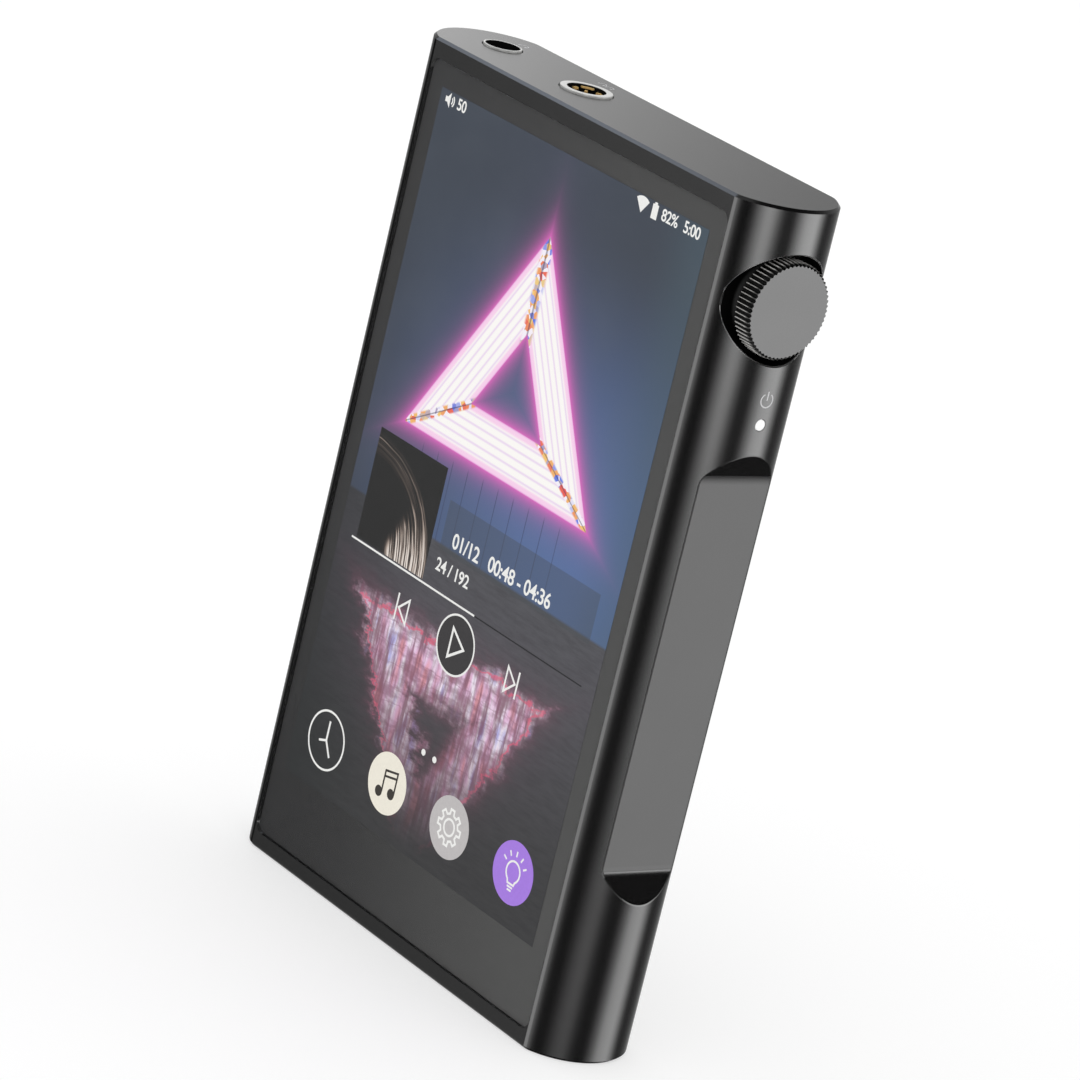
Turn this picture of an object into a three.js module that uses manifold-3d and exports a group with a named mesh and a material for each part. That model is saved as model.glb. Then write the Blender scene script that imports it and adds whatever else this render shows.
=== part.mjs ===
// A digital audio player, standing upright on its short base.
// Millimetres. +Z runs up the long side, the display faces -Y and the volume knob is on +X.
// The origin is the middle of the base of the whole object's box.

import * as THREE from "three";
import { mergeVertices } from "three/addons/utils/BufferGeometryUtils.js";
import Module from "manifold-3d";

const wasm = await Module();
wasm.setup();

// ---------------------------------------------------------------------------------------------
// Driving dimensions
// ---------------------------------------------------------------------------------------------

// Case. Depths are measured from the front face, towards the back.
const caseWidth = 72;
const caseHeight = 109;
const caseDepth = 15.8;
const coverRise = 0.6;
const sideRadius = 8.4;
const sideCentreDepth = 7.8;
const edgeChamfer = 0.35;
const sideChamfer = 0.25;
const sideSteps = 14;

// Touching pieces keep this gap to each other, unless a closer one is named.
const restGap = 0.3;

// Front glass, flush with the front face, in a pocket that is a little larger all round.
const glassWidth = 60.7;
const glassBottom = 2.25;
const glassTop = 106.55;
const glassThickness = 1.1;
const glassCorner = 2;
const pocketGap = 0.15;
const pocketDepth = 1.4;

// Display stack behind the glass.
const panelWidth = 56.4;
const panelBottom = 8;
const panelTop = 104.6;
const panelThickness = 1.6;
const trayThickness = 1;

// Hollow inside the case: a narrow bay for the display, then a wide one for the electronics.
const displayBayWidth = 57.8;
const displayBayBottom = 6.5;
const displayBayTop = 105;
const bayStartDepth = 4.7;
const bayEndDepth = 13.2;
const bayWidth = 61.2;
const bayBottom = 5.2;
const bayTop = 104.9;
const bayCorner = 0.8;

// Rear cover, in a recess that goes round the opening in the back.
const coverWidth = 57.2;
const coverBottom = 4.2;
const coverTop = 104.8;
const coverCorner = 3.7;
const coverFloorDepth = 14.5;
const coverLedge = 1.4;

// Thumb scoop: a flat floor across the right side, with a steep ramp at each end.
const scoopDepth = 2;
const scoopFloorLow = 24.75;
const scoopFloorHigh = 75.05;
const scoopRampLength = 3.75;

// Volume knob and the encoder that it turns and presses.
const sideAxisDepth = 7.7;
const knobAxisDepth = 7.4;
const knobHeight = 96.7;
const knobRadius = 6;
const knobFaceRadius = 5.8;
const knobLength = 2.75;
const knobProud = 0.3;
const knobTeeth = 60;
const toothDepth = 0.32;
const knobPocketRadius = 6.8;
const knobPocketFloorX = 31.9;
const shaftRadius = 1.5;
const shaftClearance = 0.07;
const shaftHoleRadius = 1.9;
const shaftEndDrop = 0.9;
const collarRadius = 2.6;
const collarThickness = 0.8;
const collarDrop = 1.3;
const encoderDrop = 2.3;
const encoderSize = { x: 5.8, y: 5.2, z: 10.8 };
const roundSides = 32;

// Playback buttons on the left side.
const buttonHeights = { next_button: 84, play_button: 70, previous_button: 56 };
const buttonLength = 11;
const buttonWidth = 3;
const buttonGap = 0.2;
const buttonFlangeMargin = 0.7;
const buttonFlangeThickness = 0.7;
const buttonTravelGap = 0.45;
const switchSize = { x: 1.4, y: 3.2, z: 4.4 };
const switchNubRadius = 0.7;
const buttonBoardDrop = 3.6;
const buttonBoardSize = { x: 0.5, y: 5.2, low: 48, high: 89.6 };

// Jacks on the top face.
const jackDepth = 8.2;
const ringRise = 0.25;
const ringDrop = 1.1;
const barrelDrop = 1.3;
const ringGap = 0.12;
const headphoneJack = {
  x: -27.7,
  bore: 1.75,
  barrel: 2.2,
  ringHole: 1.85,
  ring: 2.5,
  width: 5.2,
  length: 12,
};
const balancedJack = {
  x: -9.9,
  bore: 2.6,
  barrel: 3.05,
  ringHole: 2.3,
  ring: 3.35,
  width: 8.4,
  length: 14.5,
};
const jackBlockDepth = 6.2;
const contactRadius = 2.2;
const contactOuterRadius = 2.5;
const contactBottom = 94;

// Socket on the base, card socket on the left side, and the status light on the right side.
const socketWidth = 8.9;
const socketDepth = 3.2;
const socketWall = 0.3;
const socketLength = 7.6;
const socketGap = 0.2;
const cardHeight = 26;
const cardSlotLength = 11.6;
const cardSlotWidth = 1.4;
const cardSocketSize = { x: 14.7, y: 2.4, z: 14.4 };
const lightHeight = 82.6;
const lightRadius = 0.75;
const lightGap = 0.2;
const screwX = 22;

// Values worked out from the ones above.
const frontY = -(caseDepth + coverRise) / 2;
const sideCentreX = caseWidth / 2 - sideRadius;
const sideX = caseWidth / 2;
const outsideMargin = 2;
const fromFront = (depth) => frontY + depth;
const sideAxisY = fromFront(sideAxisDepth);
const jackY = fromFront(jackDepth);
const middleY = fromFront(sideCentreDepth);
const bayX = bayWidth / 2;

// ---------------------------------------------------------------------------------------------
// Solids
// ---------------------------------------------------------------------------------------------

function toSolid(geometry) {
  const plain = geometry.clone();
  plain.deleteAttribute("normal");
  plain.deleteAttribute("uv");
  const merged = mergeVertices(plain, 1e-5);
  return new wasm.Manifold(
    new wasm.Mesh({
      numProp: 3,
      vertProperties: Float32Array.from(merged.attributes.position.array),
      triVerts: Uint32Array.from(merged.index.array),
    }),
  );
}

function toGeometry(solid) {
  const mesh = solid.getMesh();
  const geometry = new THREE.BufferGeometry();
  geometry.setAttribute("position", new THREE.Float32BufferAttribute(mesh.vertProperties, 3));
  geometry.setIndex(Array.from(mesh.triVerts));
  geometry.computeVertexNormals();
  return geometry;
}

// A geometry made along +Z, turned so that it runs along the named axis.
function turnedTo(axis, geometry) {
  const x = new THREE.Vector3(1, 0, 0);
  const y = new THREE.Vector3(0, 1, 0);
  const z = new THREE.Vector3(0, 0, 1);
  const basis = new THREE.Matrix4();
  if (axis === "x") basis.makeBasis(y, z, x);
  if (axis === "y") basis.makeBasis(z, x, y);
  return geometry.applyMatrix4(basis);
}

function box(x, y, z) {
  const geometry = new THREE.BoxGeometry(x[1] - x[0], y[1] - y[0], z[1] - z[0]);
  geometry.translate((x[0] + x[1]) / 2, (y[0] + y[1]) / 2, (z[0] + z[1]) / 2);
  return toSolid(geometry);
}

// A cylinder along an axis, from one place on that axis to another. centre holds the other two
// coordinates in order, and the axis's own entry is not read.
function rod(axis, radius, from, to, centre, sides = roundSides) {
  const geometry = new THREE.CylinderGeometry(radius, radius, to - from, sides);
  geometry.rotateX(Math.PI / 2);
  geometry.translate(0, 0, (from + to) / 2);
  return toSolid(moveAcross(axis, turnedTo(axis, geometry), centre));
}

function moveAcross(axis, geometry, centre) {
  if (axis === "x") return geometry.translate(0, centre.y, centre.z);
  if (axis === "y") return geometry.translate(centre.x, 0, centre.z);
  return geometry.translate(centre.x, centre.y, 0);
}

function roundedRectangle(width, height, radius) {
  const shape = new THREE.Shape();
  const x = width / 2 - radius;
  const y = height / 2 - radius;
  shape.moveTo(x, -y - radius);
  shape.absarc(x, -y, radius, -Math.PI / 2, 0, false);
  shape.absarc(x, y, radius, 0, Math.PI / 2, false);
  shape.absarc(-x, y, radius, Math.PI / 2, Math.PI, false);
  shape.absarc(-x, -y, radius, Math.PI, (Math.PI * 3) / 2, false);
  return shape;
}

// A rounded rectangle swept along an axis. Across x its width is along y and its height along z,
// across y they are along z and x, and across z they are along x and y.
function bar(axis, width, height, radius, from, to, centre) {
  const geometry = new THREE.ExtrudeGeometry(roundedRectangle(width, height, radius), {
    depth: to - from,
    bevelEnabled: false,
    curveSegments: 6,
  });
  geometry.translate(0, 0, from);
  return toSolid(moveAcross(axis, turnedTo(axis, geometry), centre));
}

// A plate that lies across y, such as a pane of glass.
function plate(width, bottom, top, radius, frontDepth, backDepth) {
  const centre = { x: 0, z: (bottom + top) / 2 };
  const ends = [fromFront(frontDepth), fromFront(backDepth)];
  return bar("y", top - bottom, width, radius, ends[0], ends[1], centre);
}

// A closed solid through outlines at rising heights, all with the same number of points. Each
// outline goes anticlockwise round the axis, and every point of it can be seen from the axis.
function stack(levels) {
  const points = [];
  const triangle = (a, b, c) => points.push(...a, ...b, ...c);
  const at = (level, index) => {
    const [x, y] = level.outline[index % level.outline.length];
    return [x, y, level.z];
  };
  const count = levels[0].outline.length;
  const bottom = levels[0];
  const top = levels[levels.length - 1];
  for (let i = 0; i < count; i += 1) {
    for (let k = 0; k + 1 < levels.length; k += 1) {
      const low = levels[k];
      const high = levels[k + 1];
      triangle(at(low, i), at(low, i + 1), at(high, i + 1));
      triangle(at(low, i), at(high, i + 1), at(high, i));
    }
    triangle([0, 0, bottom.z], at(bottom, i + 1), at(bottom, i));
    triangle([0, 0, top.z], at(top, i), at(top, i + 1));
  }
  const geometry = new THREE.BufferGeometry();
  geometry.setAttribute("position", new THREE.Float32BufferAttribute(points, 3));
  return geometry;
}

// ---------------------------------------------------------------------------------------------
// Case
// ---------------------------------------------------------------------------------------------

// The case's section, moved in by inset all round: two flats joined by an arc on each side, with
// a small chamfer where each arc meets a flat.
function caseOutline(inset) {
  const radius = sideRadius - inset;
  const front = fromFront(inset);
  const back = fromFront(caseDepth - inset);
  const start = Math.asin((front - middleY) / radius);
  const end = Math.asin((back - middleY) / radius);
  const step = sideChamfer / sideRadius;
  const right = [[sideCentreX + radius * Math.cos(start) - sideChamfer, front]];
  for (let i = 0; i <= sideSteps; i += 1) {
    const angle = start + step + ((end - start - 2 * step) * i) / sideSteps;
    right.push([sideCentreX + radius * Math.cos(angle), middleY + radius * Math.sin(angle)]);
  }
  right.push([sideCentreX + radius * Math.cos(end) - sideChamfer, back]);
  const left = right.map(([x, y]) => [-x, y]).reverse();
  return [...right, ...left];
}

function caseBlank() {
  const geometry = stack([
    { z: 0, outline: caseOutline(edgeChamfer) },
    { z: edgeChamfer, outline: caseOutline(0) },
    { z: caseHeight - edgeChamfer, outline: caseOutline(0) },
    { z: caseHeight, outline: caseOutline(edgeChamfer) },
  ]);
  return toSolid(geometry);
}

function scoopCut() {
  const floorX = sideX - scoopDepth;
  const slope = scoopRampLength / scoopDepth;
  const reach = scoopDepth + outsideMargin;
  const outline = new THREE.Shape();
  outline.moveTo(scoopFloorLow, floorX);
  outline.lineTo(scoopFloorHigh, floorX);
  outline.lineTo(scoopFloorHigh + slope * reach, floorX + reach);
  outline.lineTo(scoopFloorLow - slope * reach, floorX + reach);
  const length = caseDepth + 2 * outsideMargin;
  const geometry = new THREE.ExtrudeGeometry(outline, { depth: length, bevelEnabled: false });
  turnedTo("y", geometry);
  geometry.translate(0, frontY - outsideMargin, 0);
  return toSolid(geometry);
}

function screwHole(x) {
  const centre = { x, y: middleY };
  return rod("z", 1.65, -1, 1.5, centre).add(rod("z", 1, 1, bayBottom + 1, centre));
}

function chassis() {
  const bay = { x: 0, z: (bayBottom + bayTop) / 2 };
  const over = outsideMargin;
  const cuts = [
    plate(
      glassWidth + 2 * pocketGap,
      glassBottom - pocketGap,
      glassTop + pocketGap,
      glassCorner + pocketGap,
      -over,
      pocketDepth,
    ),
    plate(displayBayWidth, displayBayBottom, displayBayTop, bayCorner, 0, bayStartDepth + 0.5),
    bar(
      "y",
      bayTop - bayBottom,
      bayWidth,
      bayCorner,
      fromFront(bayStartDepth),
      fromFront(bayEndDepth),
      bay,
    ),
    plate(
      coverWidth - 2 * coverLedge,
      coverBottom + coverLedge,
      coverTop - coverLedge,
      coverCorner,
      bayEndDepth - 0.5,
      caseDepth + over,
    ),
    plate(
      coverWidth + 2 * restGap,
      coverBottom - restGap,
      coverTop + restGap,
      coverCorner + restGap,
      coverFloorDepth,
      caseDepth + over,
    ),
    scoopCut(),
    rod("x", knobPocketRadius, knobPocketFloorX, sideX + over, knobCentre, 48),
    rod("x", shaftHoleRadius, bayX - 1, sideX, knobCentre),
    rod("x", lightRadius + lightGap, bayX - 1, sideX + over, lightCentre, 20),
    screwHole(-screwX),
    screwHole(screwX),
    bar(
      "z",
      socketWidth + 2 * socketGap,
      socketDepth + 2 * socketGap,
      (socketDepth + 2 * socketGap) / 2 - 0.01,
      -over,
      bayBottom + 1,
      { x: 0, y: middleY },
    ),
    cardSlotCut(-sideX - over, -bayX + 1, 0),
  ];
  for (const jack of [headphoneJack, balancedJack]) {
    const centre = { x: jack.x, y: jackY };
    cuts.push(rod("z", jack.ring + ringGap, bayTop - 1, caseHeight + over, centre));
  }
  for (const height of Object.values(buttonHeights)) {
    cuts.push(buttonBar(height, buttonGap, -sideX - over, -bayX + 1));
  }
  return cuts.reduce((solid, cut) => solid.subtract(cut), caseBlank());
}

function cardSlotCut(from, to, extra) {
  return bar(
    "x",
    cardSlotWidth + extra,
    cardSlotLength + extra,
    0.4,
    from,
    to,
    { y: middleY, z: cardHeight },
  );
}

// ---------------------------------------------------------------------------------------------
// Knob, encoder and buttons
// ---------------------------------------------------------------------------------------------

const knobCentre = { y: fromFront(knobAxisDepth), z: knobHeight };
const lightCentre = { y: sideAxisY, z: lightHeight };

// A ring of straight teeth: each has a narrow crest and a narrow root, joined by slopes.
function toothedOutline(crest, root) {
  const points = [];
  const pitch = (2 * Math.PI) / knobTeeth;
  for (let i = 0; i < knobTeeth; i += 1) {
    const corners = [[0, crest], [0.3, crest], [0.5, root], [0.8, root]];
    for (const [part, radius] of corners) {
      const angle = (i + part) * pitch;
      points.push([radius * Math.cos(angle), radius * Math.sin(angle)]);
    }
  }
  return points;
}

function volumeKnob() {
  const root = knobRadius - toothDepth;
  const face = sideX + knobProud;
  const back = face - knobLength;
  const chamfer = knobRadius - knobFaceRadius;
  const geometry = stack([
    { z: back, outline: toothedOutline(knobFaceRadius, root) },
    { z: back + chamfer, outline: toothedOutline(knobRadius, root) },
    { z: face - chamfer, outline: toothedOutline(knobRadius, root) },
    { z: face, outline: toothedOutline(knobFaceRadius, root) },
  ]);
  turnedTo("x", geometry);
  geometry.translate(0, knobCentre.y, knobCentre.z);
  const bore = rod("x", shaftRadius + shaftClearance, back - 1, shaftEndX + restGap, knobCentre);
  return toSolid(geometry).subtract(bore);
}

const shaftEndX = sideX - shaftEndDrop;
const collarBackX = bayX - collarDrop;

function encoderShaft() {
  return rod("x", shaftRadius, collarBackX - 0.2, shaftEndX, knobCentre);
}

function pressCollar() {
  const to = collarBackX + collarThickness;
  const hole = rod("x", shaftRadius + shaftClearance, collarBackX - 1, to + 1, knobCentre);
  return rod("x", collarRadius, collarBackX, to, knobCentre).subtract(hole);
}

function encoderBody() {
  const faceX = bayX - encoderDrop;
  return box(
    [faceX - encoderSize.x, faceX],
    [sideAxisY - encoderSize.y / 2, sideAxisY + encoderSize.y / 2],
    [knobHeight - encoderSize.z / 2, knobHeight + encoderSize.z / 2],
  );
}

function buttonBar(height, margin, from, to) {
  const width = buttonWidth + 2 * margin;
  const length = buttonLength + 2 * margin;
  return bar("x", width, length, width / 2 - 0.01, from, to, { y: middleY, z: height });
}

const flangeX = -bayX + restGap;

function button(height) {
  const flange = buttonBar(height, buttonFlangeMargin, flangeX, flangeX + buttonFlangeThickness);
  return buttonBar(height, 0, -sideX - knobProud, flangeX + 0.1).add(flange);
}

function buttonSwitch(height) {
  const nubX = flangeX + buttonFlangeThickness + buttonTravelGap;
  const bodyX = nubX + buttonTravelGap;
  const nub = rod("x", switchNubRadius, nubX, bodyX + 0.1, { y: middleY, z: height }, 16);
  const body = box(
    [bodyX, bodyX + switchSize.x],
    [middleY - switchSize.y / 2, middleY + switchSize.y / 2],
    [height - switchSize.z / 2, height + switchSize.z / 2],
  );
  return body.add(nub);
}

function buttonBoard() {
  const { x: thickness, y: width, low, high } = buttonBoardSize;
  const x = -bayX + buttonBoardDrop;
  return box([x, x + thickness], [middleY - width / 2, middleY + width / 2], [low, high]);
}

// ---------------------------------------------------------------------------------------------
// Jacks and sockets
// ---------------------------------------------------------------------------------------------

function jackBody(jack) {
  const centre = { x: jack.x, y: jackY };
  const blockTop = bayTop - restGap;
  const barrelTop = caseHeight - barrelDrop;
  const block = box(
    [jack.x - jack.width / 2, jack.x + jack.width / 2],
    [jackY - jackBlockDepth / 2, jackY + jackBlockDepth / 2],
    [blockTop - jack.length, blockTop],
  );
  const barrel = rod("z", jack.barrel, blockTop - 1, barrelTop, centre);
  const bore = rod("z", jack.bore, blockTop - jack.length + 1, barrelTop + 1, centre);
  return block.add(barrel).subtract(bore);
}

function jackRing(jack) {
  const centre = { x: jack.x, y: jackY };
  const low = caseHeight - ringDrop;
  const high = caseHeight + ringRise;
  const hole = rod("z", jack.ringHole, low - 1, high + 1, centre);
  return rod("z", jack.ring, low, high, centre).subtract(hole);
}

function balancedContact() {
  const centre = { x: balancedJack.x, y: jackY };
  const top = caseHeight - barrelDrop - 0.2;
  const hole = rod("z", contactRadius, contactBottom - 1, caseHeight, centre);
  return rod("z", contactOuterRadius, contactBottom, top, centre).subtract(hole);
}

function baseSocket() {
  const centre = { x: 0, y: middleY };
  const low = 0.5;
  const high = low + socketLength;
  const inner = [socketWidth - 2 * socketWall, socketDepth - 2 * socketWall];
  const shell = bar("z", socketWidth, socketDepth, socketDepth / 2 - 0.01, low, high, centre);
  const hollow = bar("z", inner[0], inner[1], inner[1] / 2 - 0.01, low - 1, high - 1, centre);
  const tongue = box([-3.3, 3.3], [middleY - 0.35, middleY + 0.35], [low + 1, high - 0.5]);
  return shell.subtract(hollow).add(tongue);
}

function socketBoard() {
  const front = middleY + socketDepth / 2 + restGap;
  return box([-13, 13], [front, front + 0.8], [bayBottom + restGap, 8.6]);
}

function cardSocket() {
  const body = box(
    [-bayX + restGap, -bayX + restGap + cardSocketSize.x],
    [middleY - cardSocketSize.y / 2, middleY + cardSocketSize.y / 2],
    [cardHeight - cardSocketSize.z / 2, cardHeight + cardSocketSize.z / 2],
  );
  return body.subtract(cardSlotCut(-sideX, -bayX + cardSocketSize.x - 1, -restGap));
}

function baseScrew(x) {
  const centre = { x, y: middleY };
  const head = rod("z", 1.4, 0.3, 1.3, centre, 24);
  const shank = rod("z", 0.75, 1.2, 4.9, centre, 16);
  const drive = rod("z", 0.6, -1, 0.8, centre, 6);
  return head.add(shank).subtract(drive);
}

// ---------------------------------------------------------------------------------------------
// Display stack, covers and electronics
// ---------------------------------------------------------------------------------------------

function depths(front, back) {
  return [fromFront(front), fromFront(back)];
}

const boardFront = 8.6;
const boardBack = 9.6;
const partsFront = 5.4;
const partsBack = 12.6;

// Parts on the front of the main board, by their x and z ranges and their front depth.
const frontParts = {
  processor_shield: { x: [-21, -2], z: [63.5, 83], front: partsFront },
  wireless_shield: { x: [9, 25], z: [63.5, 75], front: partsFront },
  dac_chip_left: { x: [0.5, 6.5], z: [80, 86], front: 7.3 },
  dac_chip_right: { x: [9, 15], z: [80, 86], front: 7.3 },
};

// Capacitors on the back of the main board, in a row.
const capacitorCount = 4;
const capacitorRadius = 2.3;
const capacitorPitch = 6;
const capacitorStartX = 6;

function frontPart({ x, z, front }) {
  return box(x, depths(front, boardFront - restGap), z);
}

function capacitor(index) {
  const x = capacitorStartX + index * capacitorPitch;
  const [from, to] = depths(boardBack + restGap, partsBack);
  return rod("y", capacitorRadius, from, to, { x, z: 72 }, 20);
}

function statusLight() {
  const x = 26.4;
  return box(
    [x, x + 1.3],
    depths(sideAxisDepth - 0.6, boardFront - restGap),
    [lightHeight - 0.9, lightHeight + 0.9],
  );
}

const trayFront = pocketDepth + panelThickness + restGap;
const flexFront = trayFront + trayThickness + restGap;
const electronics = {
  display_panel: plate(
    panelWidth,
    panelBottom,
    panelTop,
    0.5,
    pocketDepth,
    pocketDepth + panelThickness,
  ),
  backlight_tray: plate(
    panelWidth,
    panelBottom,
    panelTop,
    0.5,
    trayFront,
    trayFront + trayThickness,
  ),
  display_flex: box([-5, 5], depths(flexFront, flexFront + 0.2), [10, 62]),
  battery: bar("y", 50, 41, 2.5, ...depths(5.5, 12.6), { x: 7, z: 34.5 }),
  main_board: box([-24, 28.2], depths(boardFront, boardBack), [61, 89.6]),
  output_shield: box([-21, 1.5], depths(boardBack + restGap, partsBack), [63.5, 86]),
};

// ---------------------------------------------------------------------------------------------
// Assembly
// ---------------------------------------------------------------------------------------------

const looks = {
  case: { color: 0x5c5c5e, roughness: 0.42, metalness: 1 },
  glass: { color: 0x0c0d10, roughness: 0.06, metalness: 0 },
  display: { color: 0x3b4656, roughness: 0.3, metalness: 0 },
  cover: { color: 0x1c1c1e, roughness: 0.35, metalness: 0 },
  knob: { color: 0x8a8a8a, roughness: 0.32, metalness: 1 },
  steel: { color: 0xb4b4b6, roughness: 0.25, metalness: 1 },
  gold: { color: 0xd2a548, roughness: 0.25, metalness: 1 },
  plastic: { color: 0x141414, roughness: 0.6, metalness: 0 },
  board: { color: 0x17382a, roughness: 0.6, metalness: 0 },
  battery: { color: 0x2a2c30, roughness: 0.5, metalness: 0 },
  lens: { color: 0xe9ecef, roughness: 0.3, metalness: 0 },
  flex: { color: 0x8a5a22, roughness: 0.5, metalness: 0 },
};

const player = new THREE.Group();

function addPart(name, solid, look) {
  const mesh = new THREE.Mesh(toGeometry(solid), new THREE.MeshStandardMaterial(looks[look]));
  mesh.name = name;
  player.add(mesh);
}

addPart("chassis", chassis(), "case");
addPart(
  "front_glass",
  plate(glassWidth, glassBottom, glassTop, glassCorner, 0, glassThickness),
  "glass",
);
addPart("display_panel", electronics.display_panel, "display");
addPart("backlight_tray", electronics.backlight_tray, "steel");
addPart("display_flex", electronics.display_flex, "flex");
addPart(
  "rear_cover",
  plate(
    coverWidth,
    coverBottom,
    coverTop,
    coverCorner,
    coverFloorDepth + restGap,
    caseDepth + coverRise,
  ),
  "cover",
);

addPart("volume_knob", volumeKnob(), "knob");
addPart("encoder_shaft", encoderShaft(), "steel");
addPart("press_collar", pressCollar(), "steel");
addPart("encoder_body", encoderBody(), "plastic");

for (const [name, height] of Object.entries(buttonHeights)) {
  addPart(name, button(height), "case");
  addPart(name.replace("button", "switch"), buttonSwitch(height), "plastic");
}
addPart("button_board", buttonBoard(), "board");

addPart("headphone_jack", jackBody(headphoneJack), "plastic");
addPart("headphone_jack_ring", jackRing(headphoneJack), "steel");
addPart("balanced_jack", jackBody(balancedJack), "plastic");
addPart("balanced_jack_ring", jackRing(balancedJack), "steel");
addPart("balanced_jack_contact", balancedContact(), "gold");

addPart("base_socket", baseSocket(), "steel");
addPart("base_socket_board", socketBoard(), "board");
addPart("card_socket", cardSocket(), "steel");
addPart("base_screw_left", baseScrew(-screwX), "steel");
addPart("base_screw_right", baseScrew(screwX), "steel");

addPart("battery", electronics.battery, "battery");
addPart("main_board", electronics.main_board, "board");
addPart("output_shield", electronics.output_shield, "steel");
for (const [name, place] of Object.entries(frontParts)) {
  addPart(name, frontPart(place), name.includes("chip") ? "plastic" : "steel");
}
for (let i = 0; i < capacitorCount; i += 1) {
  addPart(`audio_capacitor_${i + 1}`, capacitor(i), "plastic");
}
addPart("status_light", statusLight(), "lens");
addPart("light_pipe", rod("x", lightRadius, 28, sideX - 0.03, lightCentre, 20), "lens");

export default player;
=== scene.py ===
"""The finished look of the digital audio player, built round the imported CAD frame.

Metres, in the frame's own axes: +Z up the long side, the display faces -Y, the knob is on +X.
"""

import math

import bmesh
import bpy
from mathutils import Matrix, Vector


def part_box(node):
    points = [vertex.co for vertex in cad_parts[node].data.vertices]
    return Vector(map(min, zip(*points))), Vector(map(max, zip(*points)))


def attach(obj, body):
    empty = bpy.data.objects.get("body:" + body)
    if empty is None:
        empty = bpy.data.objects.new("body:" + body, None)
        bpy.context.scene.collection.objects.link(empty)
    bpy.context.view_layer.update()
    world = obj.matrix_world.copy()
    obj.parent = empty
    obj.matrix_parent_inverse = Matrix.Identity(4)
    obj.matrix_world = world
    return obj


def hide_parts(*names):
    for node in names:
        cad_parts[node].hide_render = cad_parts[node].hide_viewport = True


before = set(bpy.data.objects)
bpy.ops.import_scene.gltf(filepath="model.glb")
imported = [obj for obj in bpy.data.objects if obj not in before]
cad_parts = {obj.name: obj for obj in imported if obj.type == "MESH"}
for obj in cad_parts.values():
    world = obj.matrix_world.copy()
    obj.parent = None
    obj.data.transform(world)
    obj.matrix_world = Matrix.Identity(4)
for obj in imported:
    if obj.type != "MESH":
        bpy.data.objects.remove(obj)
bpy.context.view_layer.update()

# --- Sizes, from the frame or named here ---

MM = 0.001
CASE_LOW, CASE_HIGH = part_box("chassis")
FRONT, BACK = CASE_LOW.y, CASE_HIGH.y
HALF, TOP = CASE_HIGH.x, CASE_HIGH.z

SIDE_RADIUS = 8.4 * MM
SIDE_X = HALF - SIDE_RADIUS
SIDE_Y = FRONT + 7.8 * MM
SIDE_STEPS = 96
END_CHAMFER = 0.35 * MM
SIDE_CHAMFER = 0.25 * MM
EDGE_BREAK = 0.12 * MM

GLASS_LOW, GLASS_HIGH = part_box("front_glass")
GLASS_CORNER = 1.4 * MM
GLASS_GAP = 0.05 * MM
GLASS_WIDE, GLASS_TALL = GLASS_HIGH.x - GLASS_LOW.x, GLASS_HIGH.z - GLASS_LOW.z
GLASS_Z = (GLASS_LOW.z + GLASS_HIGH.z) / 2
POCKET_DEPTH = 1.4 * MM
# The hollows behind the glass: (width, foot, head).
DISPLAY_BAY = (57.8 * MM, 6.5 * MM, 105 * MM)
MAIN_BAY = (61.2 * MM, 5.2 * MM, 104.9 * MM)
BAY_START = FRONT + 4.7 * MM
BAY_END = FRONT + 13.2 * MM

COVER_LOW, COVER_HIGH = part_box("rear_cover")
COVER_WIDE, COVER_TALL = COVER_HIGH.x - COVER_LOW.x, COVER_HIGH.z - COVER_LOW.z
COVER_Z = (COVER_LOW.z + COVER_HIGH.z) / 2
COVER_CORNER = 3.7 * MM
COVER_GAP = 0.16 * MM
COVER_LEDGE = 1.4 * MM
COVER_FLOOR = FRONT + 14.5 * MM

SCOOP_X = HALF - 2 * MM
SCOOP_LOW = 24.75 * MM
SCOOP_HIGH = 75.05 * MM
SCOOP_RAMP = 3.75 * MM
SCOOP_SLOPE = math.atan2(HALF - SCOOP_X, SCOOP_RAMP)
SCOOP_FILLET = 2.7 * MM

KNOB_LOW, KNOB_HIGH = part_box("volume_knob")
KNOB_Y = (KNOB_LOW.y + KNOB_HIGH.y) / 2
KNOB_Z = (KNOB_LOW.z + KNOB_HIGH.z) / 2
KNOB_RADIUS = (KNOB_HIGH.y - KNOB_LOW.y) / 2
KNOB_TEETH = 60
KNOB_POCKET = 6.8 * MM
POCKET_FLOOR_X = HALF - 4.1 * MM
SHAFT_HOLE = 1.9 * MM

LIGHT_LOW, LIGHT_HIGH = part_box("light_pipe")
LIGHT_Y = (LIGHT_LOW.y + LIGHT_HIGH.y) / 2
LIGHT_Z = (LIGHT_LOW.z + LIGHT_HIGH.z) / 2
LIGHT_RADIUS = 0.45 * (LIGHT_HIGH.z - LIGHT_LOW.z)

BUTTONS = ("next_button", "play_button", "previous_button")
BUTTON_WIDE, BUTTON_LONG = 3 * MM, 11 * MM
BUTTON_GAP = 0.14 * MM
BUTTON_REACH = 3 * MM
CARD_SLOT = (1.4 * MM, 11.6 * MM)
RING_GAP = 0.1 * MM
PORT_WIDE, PORT_DEEP = 8.9 * MM, 3.2 * MM
PORT_GAP = 0.15 * MM
PORT_TONGUE = (6.6 * MM, 0.7 * MM)
PORT_PADS = 8
SCREWS = ("base_screw_left", "base_screw_right")
SCREW_RADIUS = 1.4 * MM

# --- Mesh tools. A solid is (points, faces). ---

def middle(node):
    low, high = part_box(node)
    return (low + high) / 2


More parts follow.
